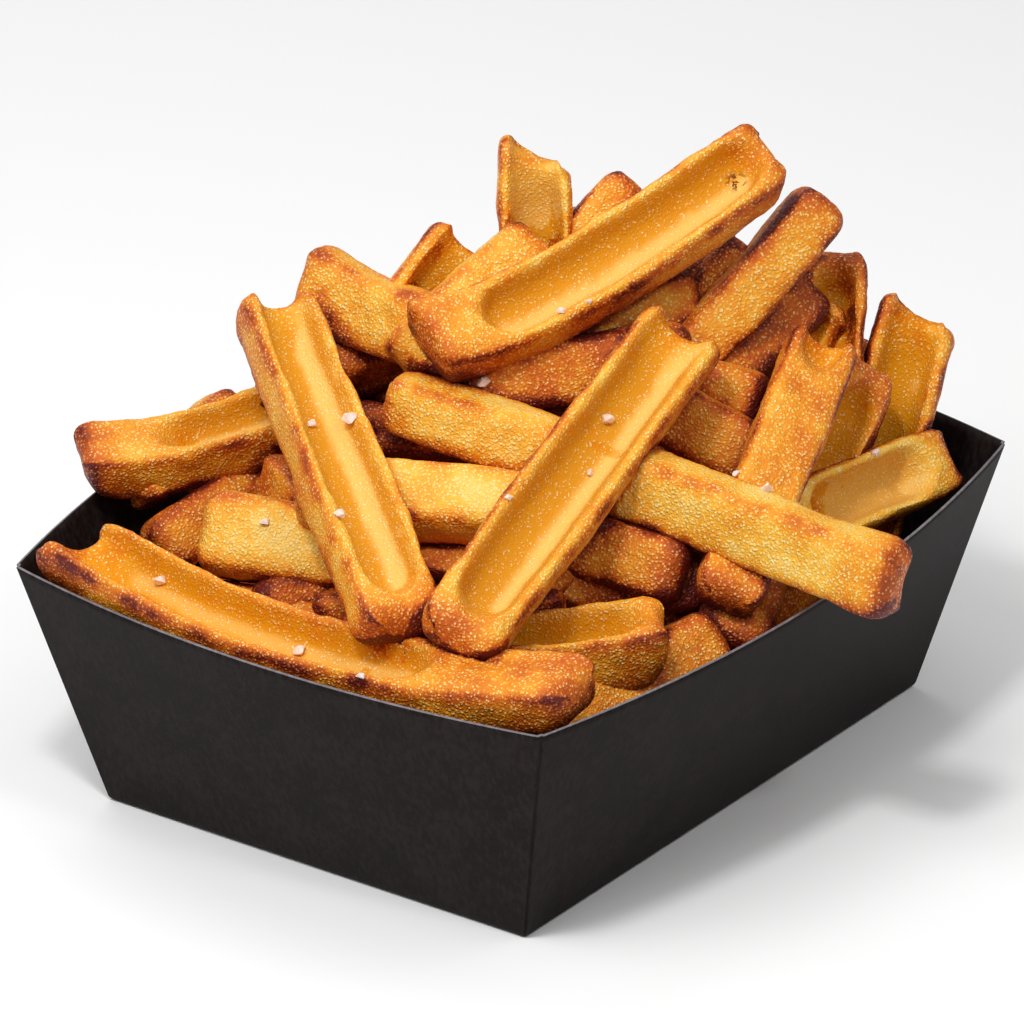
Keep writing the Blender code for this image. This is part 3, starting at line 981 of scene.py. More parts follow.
# The fries that show from the front, named for where they lie: centre, heading, pitch,
# length, roll, width, thickness and trough
SHOWN = {
    "left upright": Fry((-43, 10, 72), 54, 21, 86, 7, 17, 12, (0.07, 1.0), tip_width=0.88, notch=5),
    "centre": Fry((-26, -31, 73), 4, 20, 88, 27, 17, 12, (0.06, 1.0), notch=5),
    "top": Fry(
        (17, -7, 99), -26, 17, 77, 33, 16, 12, (0.16, 0.97), sag=3, sway=3, bend_at=0.3,
        blunt=(0.14, 0.42), ramp=1.2,
    ),
    "long cross": Fry((-11, -37, 68), -80, -9, 107, -102, 15, 11, sag=-1, bend_at=0.4, tail_width=0.8),
    "left out": Fry((-27.8, 52.8, 61.3), -45, 10, 47, 13, 14, 11, (0.33, 0.9), sag=3),
    "left behind": Fry((-26, 58, 56), -10, 12, 30, -126, 12, 11),
    "middle left": Fry((-44.5, 16.8, 55), -72, 0, 40, -127, 16.5, 11),
    "middle": Fry((-34, -5, 66), -65, 0, 50, -147, 14, 11),
    "front left": Fry(
        (-65, -4, 53), 93, 0, 112, -12, 16, 12, (0.26, 1.0), sag=5, sway=-7, skew=-5, notch=6,
    ),
    "front": Fry((-46, -37, 50), 130, -2, 50, -4, 15, 14, (0.08, 0.9), sag=3),
    "front back": Fry((-21, -26, 59), -76, -7, 50, -120, 13, 11),
    "front right": Fry((-36, -51, 41), -16, 10, 45, -127, 13, 11),
    "rim stub": Fry((0, -54, 51), 19, 32, 34, -162, 15, 11),
    "right lean": Fry((12, -51, 67), 16, 26, 64, 26, 13.5, 11, (0.84, 1.0), notch=4),
    "up right": Fry((32, -23, 83), -16, 32, 64, -124, 11.5, 11, sag=2),
    "back upright": Fry((49, -38, 62), 31, 47, 61, 4, 12, 10, (0.5, 0.94)),
    "right stub": Fry((32, -46, 58), -4, 46, 45, 65, 12, 10, (0.4, 0.92)),
    "right scoop": Fry((55, -45, 49), 7, 57, 62, 26, 15.5, 11, (0.2, 1.0), skew=-2, notch=3),
    "right low": Fry((35, -53, 53), 177, 6, 56, -52, 14, 11, (0.16, 0.8)),
    "upper left": Fry((-6, 23, 87), -90, -4, 42, -113, 15, 11, sag=3, bend_at=0.4),
    "upper scoop": Fry((4.2, 21.8, 87), -6, 32, 24, 42, 16, 11, (0.12, 1.0), notch=3),
    "brown end": Fry((2, 12, 89), -19, 29, 36, -131, 12, 11),
    "crown": Fry((16, 6, 85), 40, 69, 57, -4, 14, 11, (0.3, 1.0), skew=-3, notch=4),
    "crown right": Fry((19, 5, 92), -19, 34, 44, -132, 8, 9),
    "peak far": Fry((33, -14, 76), -21, 45, 45, -129, 10, 10, under=True),
    "peak dark": Fry((48, 3, 84), -120, 5, 45, 180, 11, 10),
    "peak under": Fry((16, -7, 82), -26, 8, 45, -119, 13, 10, under=True),
    "peak low": Fry((5, -10, 79), -47, 4, 45, -117, 14, 10, under=True),
    "under cross": Fry((15, -28, 70), -69, -24, 50, -120, 13, 10, under=True),
    "under centre": Fry((20, -20, 75), -68, -11, 40, -118, 12, 10, under=True),
    "right dark": Fry((37, -26, 74), -1, 16, 45, -139, 13, 10, under=True),
    "left pale": Fry((5, 28, 76), -20, 5, 40, -60, 10, 10, under=True),
    "left dark": Fry((-9, 5, 66), 110, 0, 45, 117, 10, 10, under=True),
    "corner": Fry((-26, 46, 49), -15, 16, 40, -130, 12, 10, under=True),
    "low left": Fry((-40, 7, 47), -38, 7, 40, -119, 12, 10, under=True),
    "low middle": Fry((-28, -12, 51), -64, 5, 40, -116, 12, 10, under=True),
    "low front": Fry((-21, -32, 52), -54, 0, 45, -116, 12, 10, under=True),
    "low right": Fry((38, -44, 54), 5, 40, 45, -121, 12, 10, under=True),
}

# How those are fried, and how brown their tails and tips are; the rest are DEEP.  The DARK and BROWN tones
# of the buried fries are partly painted shade for the gaps they fill
FRYING_AND_SHADE = {
    "left upright": (Fried.GOLDEN, (0.9, 0.8)),
    "centre": (Fried.GOLDEN, (0.75, 0.85)),
    "top": (Fried.GOLDEN, (0.8, 0.85)),
    "long cross": (Fried.LIGHT, (0.5, 1.4)),
    "left out": (Fried.GOLDEN, (1.3, 0.3)),
    "left behind": (Fried.GOLDEN, (0.6, 0.7)),
    "middle left": (Fried.LIGHT, (0.5, 0.4)),
    "middle": (Fried.LIGHT, (0.4, 0.4)),
    "front left": (Fried.DEEP, (0.7, 0.7)),
    "front": (Fried.AMBER, (0.5, 0.8)),
    "front back": (Fried.DEEP, (0.4, 1.0)),
    "front right": (Fried.DEEP, (0.6, 0.9)),
    "rim stub": (Fried.DEEP, (0.7, 0.6)),
    "right lean": (Fried.DEEP, (0.5, 0.6)),
    "up right": (Fried.AMBER, (0.4, 0.75)),
    "back upright": (Fried.DEEP, (0.5, 0.8)),
    "right stub": (Fried.DEEP, (0.6, 0.8)),
    "right scoop": (Fried.AMBER, (0.5, 0.5)),
    "right low": (Fried.LIGHT, (2.0, 0.4)),
    "upper left": (Fried.GOLDEN, (0.9, 0.5)),
    "upper scoop": (Fried.GOLDEN, (0.6, 0.6)),
    "brown end": (Fried.LIGHT, (0.3, 1.0)),
    "crown": (Fried.LIGHT, (0.4, 0.9)),
    "crown right": (Fried.GOLDEN, (0.5, 0.9)),
    "peak dark": (Fried.DEEP, (0.9, 0.9)),
    "peak far": (Fried.DEEP, (0.9, 0.9)),
    "peak under": (Fried.DEEP, (0.6, 0.6)),
    "right dark": (Fried.DARK, (0.9, 0.9)),
    "left dark": (Fried.DARK, (0.9, 0.9)),
    "low left": (Fried.DARK, (0.7, 0.7)),
    "low middle": (Fried.DARK, (0.9, 0.9)),
    "low front": (Fried.DARK, (0.9, 0.9)),
    "low right": (Fried.BROWN, (0.7, 0.7)),
    "peak low": (Fried.BROWN, (0.7, 0.7)),
}


@dataclass
class FryShape:
    """Turns a fry's sizes into its surface, and marks its crust for the material.

    The two half sections run from the middle of the underside, up one side and
    in to the middle of the top, with or without the trough, as shares of the
    half width and half thickness.  Turn counts along their points, so a mark
    at a turn follows one line along the fry.  Painted shade raises the tone of
    the crust where other fries crowd it and on the underside, and a painted
    highlight lowers it in the parts of a trough that face the key light, up
    and to the left of the front.
    """

    open_half: Grid = field(default_factory=lambda: np.array([
        (0.0, -1.0), (0.5, -0.99), (0.84, -0.84), (0.97, -0.4), (1.0, 0.2), (0.98, 0.7),
        (0.86, 0.99), (0.72, 0.93), (0.63, 0.64), (0.52, 0.26), (0.31, 0.0), (0.0, -0.08),
    ]))
    shut_half: Grid = field(default_factory=lambda: np.array([
        (0.0, -1.0), (0.5, -0.99), (0.84, -0.84), (0.97, -0.4), (1.0, 0.2), (0.97, 0.7),
        (0.86, 0.9), (0.72, 0.985), (0.55, 1.0), (0.38, 1.0), (0.19, 1.0), (0.0, 1.0),
    ]))

    # The rounded ends, and the slow change of width and thickness along a fry
    lip_radius: float = 3.4
    least_rings: int = 6
    cap_rings: int = 9
    cap_start: float = 0.015
    end_power: float = 0.82
    end_narrow: float = 0.55
    wobble: float = 0.05
    wobble_runs: tuple[float, float] = (13.0, 11.0)
    wobble_seeds: tuple[int, int] = (21, 22)
    wobble_lane: float = 9.0

    # The trough's shut ends, and the two lobes and the mouth of an open end
    scoop_half: float = 0.68
    lobe_depth: float = 0.5
    lobe_run: float = 13.0
    shut_ramp: float = 5.0
    lead: float = 2.0
    lag_share: float = 0.7
    mouth_from: float = 0.8
    mouth_floor: tuple[float, float] = (-0.62, 0.25)
    mouth_crest: tuple[float, float] = (0.35, 0.98)
    mouth_depth: float = 0.4
    crest_back: float = 0.06
    crest_fall: float = 0.22
    crest_run: float = 6.0

    # Where a fry is pressed down under the trough of another, in that one's half sizes
    pressed_to: float = -0.45
    pressed_half: float = 0.9
    pressed_rise: float = 3.0
    pressed_top: float = 1.4
    pressed_fade: tuple[float, float] = (0.66, 0.86)

    # The marks: middles and widths of the lines at the ends, crests and lower edges
    end_run: float = 6.5
    end_fall: float = 1.5
    end_line: tuple[float, float] = (1.5, 1.4)
    end_shares: tuple[float, float] = (0.5, 0.4)
    crest_line: tuple[float, float] = (5.2, 0.6)
    crest_share: float = 0.85
    edge_line: tuple[float, float] = (2.1, 0.75)
    edge_share: float = 0.8
    trough_turns: tuple[float, float] = (6.9, 8.2)

    # The relief: sizes and heights of its bumps
    bumps: tuple[tuple[float, float], ...] = ((8.0, 0.42), (3.4, 0.20), (1.6, 0.10), (1.05, 0.10))
    bumps_calmed: float = 0.62
    seed_shift: float = 37.0
    seed_wrap: float = 400.0

    # The tone's painted shade and painted light: steps along the normal with their shares, and what each
    # cause adds
    crowd_steps: tuple[tuple[float, float], ...] = (
        (1.5, 0.3), (3.5, 0.25), (6.5, 0.25), (11.0, 0.2),
    )
    crowd_reach: float = 4.0
    # Painted shade: how much darker crowded crust is drawn
    crowd_shade: float = 0.92
    # Painted shade: how much darker the crust is drawn where it faces down
    underside_shade: float = 0.30
    underside_tilt: tuple[float, float] = (-0.45, 0.55)
    # Painted highlight: the trough's side that faces the key light's way is drawn paler
    painted_light: float = 0.46
    lit_tilt: tuple[float, float] = (0.80, 1.0)
    key_light_way: tuple[float, float, float] = (-0.565, 0.1, 0.819)
    char_core: float = 0.4

    def section(self, half: Grid, around: int) -> Grid:
        """Give a whole cross-section of a half one, as a smooth closed curve."""
        mirrored = (half[1:-1] * (-1.0, 1.0))[::-1]
        return closed_curve(np.concatenate([half, mirrored]), around)

    def stations(self, fry: Fry, step: float) -> tuple[Grid, Grid]:
        """Give the places of the rings along a fry and how full each one is.

        The ends are rounded between an ellipse and a box: the fullness is the
        sine and the place one minus the cosine of a growing angle, to a power
        a little under one.

        Args:
            fry: The fry.
            step: The distance between rings along the body.

        Returns:
            Places in millimetres from the tail, and fullness from 0 to 1.
        """
        tail = fry.blunt[0] * fry.thickness
        tip = self.lip_radius if fry.runs_out() else fry.blunt[1] * fry.thickness
        angle = np.linspace(0.0, 1.0, self.cap_rings) * math.pi / 2.0
        angle[0] = self.cap_start
        place = 1.0 - np.cos(angle) ** self.end_power
        full = np.sin(angle) ** self.end_power
        count = max(self.least_rings, int((fry.length - tail - tip) / step))
        body = np.linspace(tail, fry.length - tip, count)[1:-1]
        places = np.concatenate([place * tail, body, fry.length - place[::-1] * tip])
        return places, np.concatenate([full, np.ones(len(body)), full[::-1]])

    def surface(self, fry: Fry, around: int, step: float) -> tuple[Grid, Grid]:
        """Give a fry's rings of points before its crust's relief.

        Each ring blends a shut and an open section by the trough's depth,
        shrinks towards its own midline at the ends, and is carried along the
        fry's axis, which bends by two half parabolas.

        Args:
            fry: The fry.
            around: How many points a ring has.
            step: The distance between rings along the body.

        Returns:
            The points, and the crust's marks: end, rim, trough and the fry's own
            tone, to which add_to later adds painted shade and painted light.
        """
        places, full = self.stations(fry, step)
        share = places / fry.length
        hollow, whole = self.section(self.open_half, around), self.section(self.shut_half, around)
        depth = self.trough_depth(fry, places, hollow)
        section = whole + (hollow - whole) * depth[..., None]
        lane = np.full(len(places), self.wobble_lane)
        track = np.stack([places, lane, np.full(len(places), fry.length)], axis=-1)
        for axis, (run, seed) in enumerate(zip(self.wobble_runs, self.wobble_seeds)):
            section[..., axis] *= 1.0 + self.wobble * value_noise(track, run, seed)[:, None]
        partner = (around // 2 - np.arange(around)) % around
        middle = 0.5 * (section + section[:, partner])
        wide = self.end_narrow + (1.0 - self.end_narrow) * depth.max(axis=1)
        narrowed = middle * wide[:, None, None]

        reach = np.repeat(places[:, None], around, axis=1)
        if fry.runs_out():
            near_tip = smooth_step(share, self.mouth_from, 1.0)[:, None]
            floor = 1.0 - smooth_step(middle[..., 1], *self.mouth_floor)
            crest = smooth_step(middle[..., 1], *self.mouth_crest)
            set_back = self.mouth_depth * fry.notch * floor + self.crest_back * fry.thickness * crest
            reach = reach + near_tip * (fry.skew * section[..., 0] - set_back)
            fall = smooth_step(places, fry.length - self.crest_run, fry.length)[:, None] * crest
            section[..., 1] -= self.crest_fall * fall
            narrowed[..., 1] -= self.crest_fall * fall
        section = narrowed + (section - narrowed) * full[:, None, None]
        slim = fry.tail_width + (fry.tip_width - fry.tail_width) * share
        across = section[..., 0] * slim[:, None] * fry.width / 2.0
        rise = section[..., 1] * fry.thickness / 2.0

        travel = np.clip(reach / fry.length, 0.0, 1.0)
        side = np.where(travel < fry.bend_at, fry.bend_at, 1.0 - fry.bend_at)
        bend = 1.0 - ((travel - fry.bend_at) / side) ** 2
        roll = -math.radians(fry.roll)
        turned_across = across * math.cos(roll) - rise * math.sin(roll) + fry.sway * bend
        turned_rise = across * math.sin(roll) + rise * math.cos(roll) - fry.sag * bend
        along, right, up = fry.axes()
        tail = np.array(fry.centre, float) - along * fry.length / 2.0
        points = (
            tail
            + reach[..., None] * along
            + turned_across[..., None] * right
            + turned_rise[..., None] * up
        )
        outwards = -np.arange(around) % around
        return points[:, outwards], self.marks(fry, travel, depth, around)[:, outwards]

    @staticmethod
    def read_in(points: Grid, fry: Fry) -> tuple[Grid, Grid, Grid, Grid]:
        """Read points in a fry's own bent frame.

        Args:
            points: Places in millimetres.
            fry: The fry.

        Returns:
            Each point's share of the length, its places across and up as
            shares of the half width and half thickness, and the frame's unit
            vector up through the fry.
        """
        along, right, up = fry.axes()
        roll = -math.radians(fry.roll)
        off = points - np.array(fry.centre, float)
        reach = off @ along / fry.length + 0.5
        side = np.where(reach < fry.bend_at, fry.bend_at, 1.0 - fry.bend_at)
        bend = 1.0 - ((np.clip(reach, 0.0, 1.0) - fry.bend_at) / side) ** 2
        flat, high = off @ right - fry.sway * bend, off @ up + fry.sag * bend
        across = (flat * math.cos(roll) + high * math.sin(roll)) / (fry.width / 2.0)
        rise = (high * math.cos(roll) - flat * math.sin(roll)) / (fry.thickness / 2.0)
        return reach, across, rise, math.cos(roll) * up - math.sin(roll) * right

    def pressed(self, points: Grid, over: Fry) -> Grid:
        """Press down the points of a fry where a trough above would show them.

        Where most of the points near the upper fry lie below its middle, the
        ones inside it are moved under its trough, fading out in its walls.

        Args:
            points: The lower fry's points.
            over: The fry with the trough.

        Returns:
            The moved points.
        """
        reach, across, rise, lift = self.read_in(points, over)
        inside = (np.abs(across) < self.pressed_half) & (np.abs(rise) < self.pressed_rise)
        inside &= (reach > 0.0) & (reach < 1.0)
        if not inside.any() or np.median(rise[inside]) > 0.0:
            return points
        held = 1.0 - smooth_step(np.abs(across), *self.pressed_fade)
        inside &= rise < self.pressed_top
        over_floor = np.where(inside, np.maximum(rise - self.pressed_to, 0.0), 0.0)
        return points - (held * over_floor * over.thickness / 2.0)[..., None] * lift

    def occluded_share(self, points: Grid, normals: Grid, others: list[Fry]) -> Grid:
        """Tell how closely other fries face each point, from 0 to 1.

        A few steps are taken along each normal, and each step that ends in
        another fry adds its share.  It drives painted shade: crowded crust is
        drawn darker.

        Args:
            points: A fry's points.
            normals: Their normals.
            others: The other fries.

        Returns:
            One value for each point.
        """
        total = np.zeros(points.shape[:-1])
        for step, share in self.crowd_steps:
            places = points + normals * step
            hit = np.zeros(total.shape, dtype=bool)
            for fry in others:
                away = np.abs(places - np.array(fry.centre)).max(axis=-1)
                near = ~hit & (away < fry.length / 2.0 + self.crowd_reach)
                if near.any():
                    reach, across, rise, _ = self.read_in(places[near], fry)
                    within = (np.abs(across) < 1.0) & (np.abs(rise) < 1.0)
                    hit[near] = within & (np.abs(reach - 0.5) < 0.5)
            total += share * hit
        return total

    def trough_depth(self, fry: Fry, places: Grid, hollow: Grid) -> Grid:
        """Give the trough's depth at each point, from 0 to 1.

        The trough's shut ends are round: a point off the middle line starts
        later by its distance from a half circle across the trough.  Towards
        an open end its floor rises, which leaves two thick lobes.

        Args:
            fry: The fry.
            places: The rings' places in millimetres from the tail.
            hollow: The open cross-section.

        Returns:
            The depth, rings along the first axis.
        """
        if not fry.trough:
            return np.zeros((len(places), len(hollow)))
        off = np.clip(np.abs(hollow[:, 0]) / self.scoop_half, 0.0, 1.0)
        lag = self.scoop_half * fry.width / 2.0 * (1.0 - np.sqrt(1.0 - off * off))
        start, stop = fry.trough[0] * fry.length, fry.trough[1] * fry.length
        into = places[:, None] - start - self.lag_share * lag
        depth = smooth_step(into, -self.lead, fry.ramp)
        if not fry.runs_out():
            out_of = stop - self.lag_share * lag - places[:, None]
            return depth * smooth_step(out_of, -self.lead, self.shut_ramp)
        rising = smooth_step(places, fry.length - self.lobe_run, fry.length)[:, None]
        return depth * (1.0 - self.lobe_depth * rising)

    def marks(self, fry: Fry, travel: Grid, depth: Grid, around: int) -> Grid:
        """Give the crust's marks at each point of a fry.

        The end mark falls off over a few millimetres from each end and has a
        line at the end face's edge.  The rim mark is one bell curve just
        outside the trough's crest and one on the lower edge, and the trough
        mark covers the points between the two crests.

        Args:
            fry: The fry.
            travel: Each point's share of the length.
            depth: The trough's depth at each ring.
            around: How many points a ring has.

        Returns:
            Four values for each point: end, rim, trough and the fry's own tone,
            to which add_to later adds painted shade and painted light.
        """
        end = np.zeros(travel.shape)
        for brown, share in zip(fry.ends, (travel, 1.0 - travel)):
            away = share * fry.length
            fade = self.end_shares[0] * np.exp(-(away / self.end_run) ** self.end_fall)
            end += brown * (fade + self.end_shares[1] * bell(away, *self.end_line))
        half = len(self.open_half) - 1.0
        turn = np.abs((np.arange(around) / around * 2.0 * half + half) % (2.0 * half) - half)
        crest = bell(turn, *self.crest_line) * (self.crest_share + (1.0 - self.crest_share) * depth)
        rim = crest + self.edge_share * bell(turn, *self.edge_line)
        scoop = smooth_step(turn, *self.trough_turns) * depth
        tone_and_shading = np.full(travel.shape, fry.fried.value)
        return np.stack([end, np.clip(rim, 0.0, 1.0), scoop, tone_and_shading], axis=-1)

    def crusted(self, points: Grid, marks: Grid, seed: int) -> Grid:
        """Give the points with the crust's relief added along their normals.

        Bumps of a few sizes, each with its own height, add up, and are weaker
        in the trough.

        Args:
            points: Rings of points.
            marks: The crust's marks.
            seed: Sets one fry's bumps apart from another's.

        Returns:
            The moved points.
        """
        shifted = points + seed * self.seed_shift % self.seed_wrap
        bumps = np.zeros(points.shape[:-1])
        for number, (size, height) in enumerate(self.bumps):
            bumps += height * value_noise(shifted, size, seed + number)
        bumps *= 1.0 - self.bumps_calmed * marks[..., 2]
        return points + grid_normals(points) * bumps[..., None]

    def add_to(
        self, parts: MeshParts, fry: Fry, fineness: Fineness, seed: int,
        others: list[Fry], char: tuple[float, ...] = (),
    ) -> tuple[Grid, Grid]:
        """Add one fry's surface to a mesh in the making.

        Painted shade raises the tone by the crowding and by how far the crust
        faces down, and a painted highlight lowers it in the trough where it
        faces the key light's way.

        Args:
            parts: The mesh in the making.
            fry: The fry.
            fineness: How finely to draw it.
            seed: Sets its bumps apart from the others'.
            others: All the fries, itself too.
            char: A burnt place's share along, share around and radius.

        Returns:
            Its points and their normals, one row each.
        """
        around, step = fineness.value
        points, marks = self.surface(fry, around, step)
        points = self.crusted(points, marks, seed)
        others = [other for other in others if other.centre != fry.centre]
        for other in others:
            if other.trough:
                points = self.pressed(points, other)
        normals = grid_normals(points)
        scoop = marks[..., 2]
        # Painted shade on the crust that faces down, outside the trough
        under = smooth_step(-normals[..., 2], *self.underside_tilt) * (1.0 - scoop)
        # Painted highlight on the trough's side that faces the key light
        lit = smooth_step(normals @ np.array(self.key_light_way), *self.lit_tilt) * scoop
        # Painted shade where other fries crowd the crust
        marks[..., 3] += self.crowd_shade * self.occluded_share(points, normals, others)
        marks[..., 3] += self.underside_shade * under - self.painted_light * lit
        rings = len(points)
        burnt = np.zeros((rings, around))
        if char:
            spot = points[int(char[0] * (rings - 1)), int(char[1] * around) % around]
            far = np.linalg.norm(points - spot, axis=-1)
            burnt = 1.0 - smooth_step(far, self.char_core * char[2], char[2])
        faces = tube_faces(rings, around)
        faces += zip_faces(0, around, True)
        faces += zip_faces((rings - 1) * around, around, False)
        parts.add(points.reshape(-1, 3), faces, marks.reshape(-1, 4), burnt.ravel())
        return points.reshape(-1, 3), normals.reshape(-1, 3)


@dataclass
class Heap:
    """The fries: those that show, those laid by rule, and the core under them.

    The far fries and the low fries each wind outwards or inwards over an
    ellipse by the golden share of a turn, and follow the heap's level.  The
    skyline is the heap's top edge in the front view, which the far fries stay
    under: places across, and their heights, in millimetres.
    """

    tray: Tray
    wall_margin: float = 1.6
    floor: float = 0.9

    # The level that fries laid by rule follow
    peak_at: tuple[float, float] = (16.0, 2.0)
    reach: tuple[float, float] = (64.0, 56.0)
    rim_level: float = 44.0
    peak_level: float = 84.0

    # The far fries: their arc, the line they stay behind, and their chance sizes
    far_count: int = 27
    far_from: float = -58.0
    far_to: float = 178.0
    far_seed: int = 12
    far_bearing: float = 36.0
    far_line: float = 16.0
    far_slack: float = 8.0
    far_radius: float = 0.30
    far_spread: float = 0.60
    far_sunk: float = 1.0
    far_notch: float = 4.0
    far_tilt: float = 7.0
    far_length: tuple[float, float] = (48.0, 76.0)
    far_roll: float = 28.0
    far_width: tuple[float, float] = (12.5, 16.5)
    far_thickness: tuple[float, float] = (10.0, 12.0)
    far_start: tuple[float, float] = (0.07, 0.25)
    far_bend: float = 1.2

    # The low fries
    low_count: int = 20
    low_seed: int = 8
    low_reach: tuple[float, float] = (68.0, 54.0)
    low_radius: float = 0.86
    low_spread: float = 0.40
    low_sunk: float = 13.0
    low_turn: float = 30.0
    low_tilt: float = 9.0
    low_length: tuple[float, float] = (42.0, 62.0)
    low_width: tuple[float, float] = (11.0, 14.0)
    low_thickness: float = 10.0

    # Small steps in and up until a fry clears the tray
    slide_steps: int = 80
    slide_in: float = 0.017
    slide_up: float = 0.1

    # The front view's axes and the heap's skyline in it
    sight_across: tuple[float, float, float] = (0.584, -0.812, 0.0)
    sight_up: tuple[float, float, float] = (0.358, 0.258, 0.897)
    skyline_across: tuple[float, ...] = (
        -85, -54, -51, -37, -23, -14, -6, -3, 16, 42, 46, 54, 57, 64, 66, 78, 80, 90,
    )
    skyline_up: tuple[float, ...] = (
        58, 66, 80, 86, 82, 89, 93, 101, 102, 108, 100, 98, 87, 86, 77, 75, 57, 55,
    )

    # The core under the fries, with the sizes, heights and seeds of its lumps
    core_shoulder: float = 36.0
    core_peak: float = 66.0
    core_peak_at: tuple[float, float] = (14.0, -2.0)
    core_inset: float = 4.16
    core_around: int = 64
    core_roundness: float = 2.5
    core_rings: tuple[int, int] = (12, 16)
    core_top: float = 0.98
    core_dome: float = 1.6
    core_lumps: tuple[tuple[float, float, int], ...] = ((11.0, 1.6, 5), (4.0, 0.8, 6))

    # Coarse points for fitting, how many fries a piece holds, the burnt speck, and what
    # the seeds of the bumps go up by: for each letter and piece, and from where for each fry
    coarse_around: int = 20
    coarse_step: float = 8.0
    group_size: int = 8
    burnt_speck: tuple[float, float, float] = (0.89, 0.5, 2.6)
    shown_seeds: tuple[int, int] = (11, 7)
    laid_seeds: tuple[int, int] = (100, 5)
    shape: FryShape = field(default_factory=FryShape)

    def level(self, place_x: float, place_y: float) -> float:
        """Give the height that fries laid by rule follow: a product of parabolas.

        Args:
            place_x: Where along x.
            place_y: Where along y.

        Returns:
            The height in millimetres.
        """
        off_x = (place_x - self.peak_at[0]) / (self.reach[0] + abs(self.peak_at[0]))
        off_y = (place_y - self.peak_at[1]) / self.reach[1]
        fall = max(0.0, 1.0 - off_x * off_x) * max(0.0, 1.0 - off_y * off_y)
        return self.rim_level + (self.peak_level - self.rim_level) * fall

    def slope(self, place_x: float, place_y: float, heading: float, step: float = 6.0) -> float:
        """Give the level's slope along a heading.

        Args:
            place_x: Where along x.
            place_y: Where along y.
            heading: The heading in degrees.
            step: How far ahead and behind the level is read.

        Returns:
            The slope in degrees.
        """
        step_x = step * math.cos(math.radians(heading))
        step_y = step * math.sin(math.radians(heading))
        ahead = self.level(place_x + step_x, place_y + step_y)
        behind = self.level(place_x - step_x, place_y - step_y)
        return math.degrees(math.atan2(ahead - behind, 2.0 * step))

    def coarse(self, fry: Fry) -> Grid:
        """Give a coarse set of a fry's surface points, one row each."""
        points, _ = self.shape.surface(fry, self.coarse_around, self.coarse_step)
        return points.reshape(-1, 3)

    def slide_inside(self, fry: Fry) -> Fry | None:
        """Move a fry towards the middle until it clears the tray.

        Args:
            fry: The fry.

        Returns:
            The moved fry, or None where it never fits.
        """
        centre = np.array(fry.centre, float)
        for _ in range(self.slide_steps):
            placed = replace(fry, centre=tuple(centre))
            if self.tray.outside_by(self.coarse(placed), self.wall_margin, self.floor) <= 0.0:
                return placed
            centre[:2] -= centre[:2] * self.slide_in
            centre[2] += self.slide_up
        return None

    def far_way(self) -> Grid:
        """Give the level unit vector towards the far side."""
        bearing = math.radians(self.far_bearing)
        return np.array([math.cos(bearing), math.sin(bearing), 0.0])

    def nearest(self, fry: Fry) -> float:
        """Tell how near a fry's ends come to the front.

        Args:
            fry: The fry.

        Returns:
            The nearer end's place along the far way.
        """
        along, _, _ = fry.axes()
        way = self.far_way()
        return float(np.dot(fry.centre, way) - abs(np.dot(along, way)) * fry.length / 2.0)

    def keep_behind(self, fry: Fry) -> Fry | None:
        """Move a fry to the far side, and lower it under the skyline.

        Args:
            fry: The fry.

        Returns:
            The moved fry, or None where it never fits.
        """
        short = self.far_line - self.nearest(fry)
        if short > 0.0:
            fry = replace(fry, centre=tuple(np.array(fry.centre) + self.far_way() * short))
        placed = self.slide_inside(fry)
        if placed is None:
            return None
        points = self.coarse(placed)
        limit = np.interp(points @ self.sight_across, self.skyline_across, self.skyline_up)
        rise = float((points @ self.sight_up - limit).max()) / self.sight_up[2]
        if rise > 0.0:
            x, y, z = placed.centre
            placed = self.slide_inside(replace(placed, centre=(x, y, z - rise)))
        return placed

    def far_fries(self) -> list[Fry]:
        """Lay fries over the side that faces away from the front.

        They wind outwards by the golden share of the arc, and their turns and
        sizes are drawn by chance from a fixed seed.  One that would still stand
        in front is laid across instead.

        Returns:
            The fries.
        """
        chance = np.random.default_rng(self.far_seed)
        laid = []
        for number in range(self.far_count):
            share = (number * GOLDEN_SHARE) % 1.0
            angle = math.radians(self.far_from + (self.far_to - self.far_from) * share)
            radius = self.far_radius + self.far_spread * (number + 0.5) / self.far_count
            place_x = self.peak_at[0] + self.reach[0] * radius * math.cos(angle)
            place_y = self.peak_at[1] + self.reach[1] * radius * math.sin(angle)
            heading = float(chance.uniform(0.0, 360.0))
            tilt = float(chance.normal(0.0, self.far_tilt))
            scooped = number % 3 != 2
            fry = Fry(
                (place_x, place_y, self.level(place_x, place_y) - self.far_sunk),
                heading,
                self.slope(place_x, place_y, heading) + tilt,
                float(chance.uniform(*self.far_length)),
                float(chance.normal(0.0, self.far_roll)),
                float(chance.uniform(*self.far_width)),
                float(chance.uniform(*self.far_thickness)),
                (float(chance.uniform(*self.far_start)), 1.0) if scooped else (),
                sag=float(chance.normal(0.0, self.far_bend)),
                sway=float(chance.normal(0.0, self.far_bend)),
                notch=self.far_notch if scooped else 0.0,
                fried=(Fried.GOLDEN, Fried.LIGHT, Fried.DEEP)[number % 3],
            )
            placed = self.keep_behind(fry)
            if placed is not None and self.far_line - self.nearest(placed) > self.far_slack:
                across = replace(placed, heading=self.far_bearing + 90.0, pitch=0.0)
                placed = self.keep_behind(across)
            if placed is not None:
                laid.append(placed)
        return laid

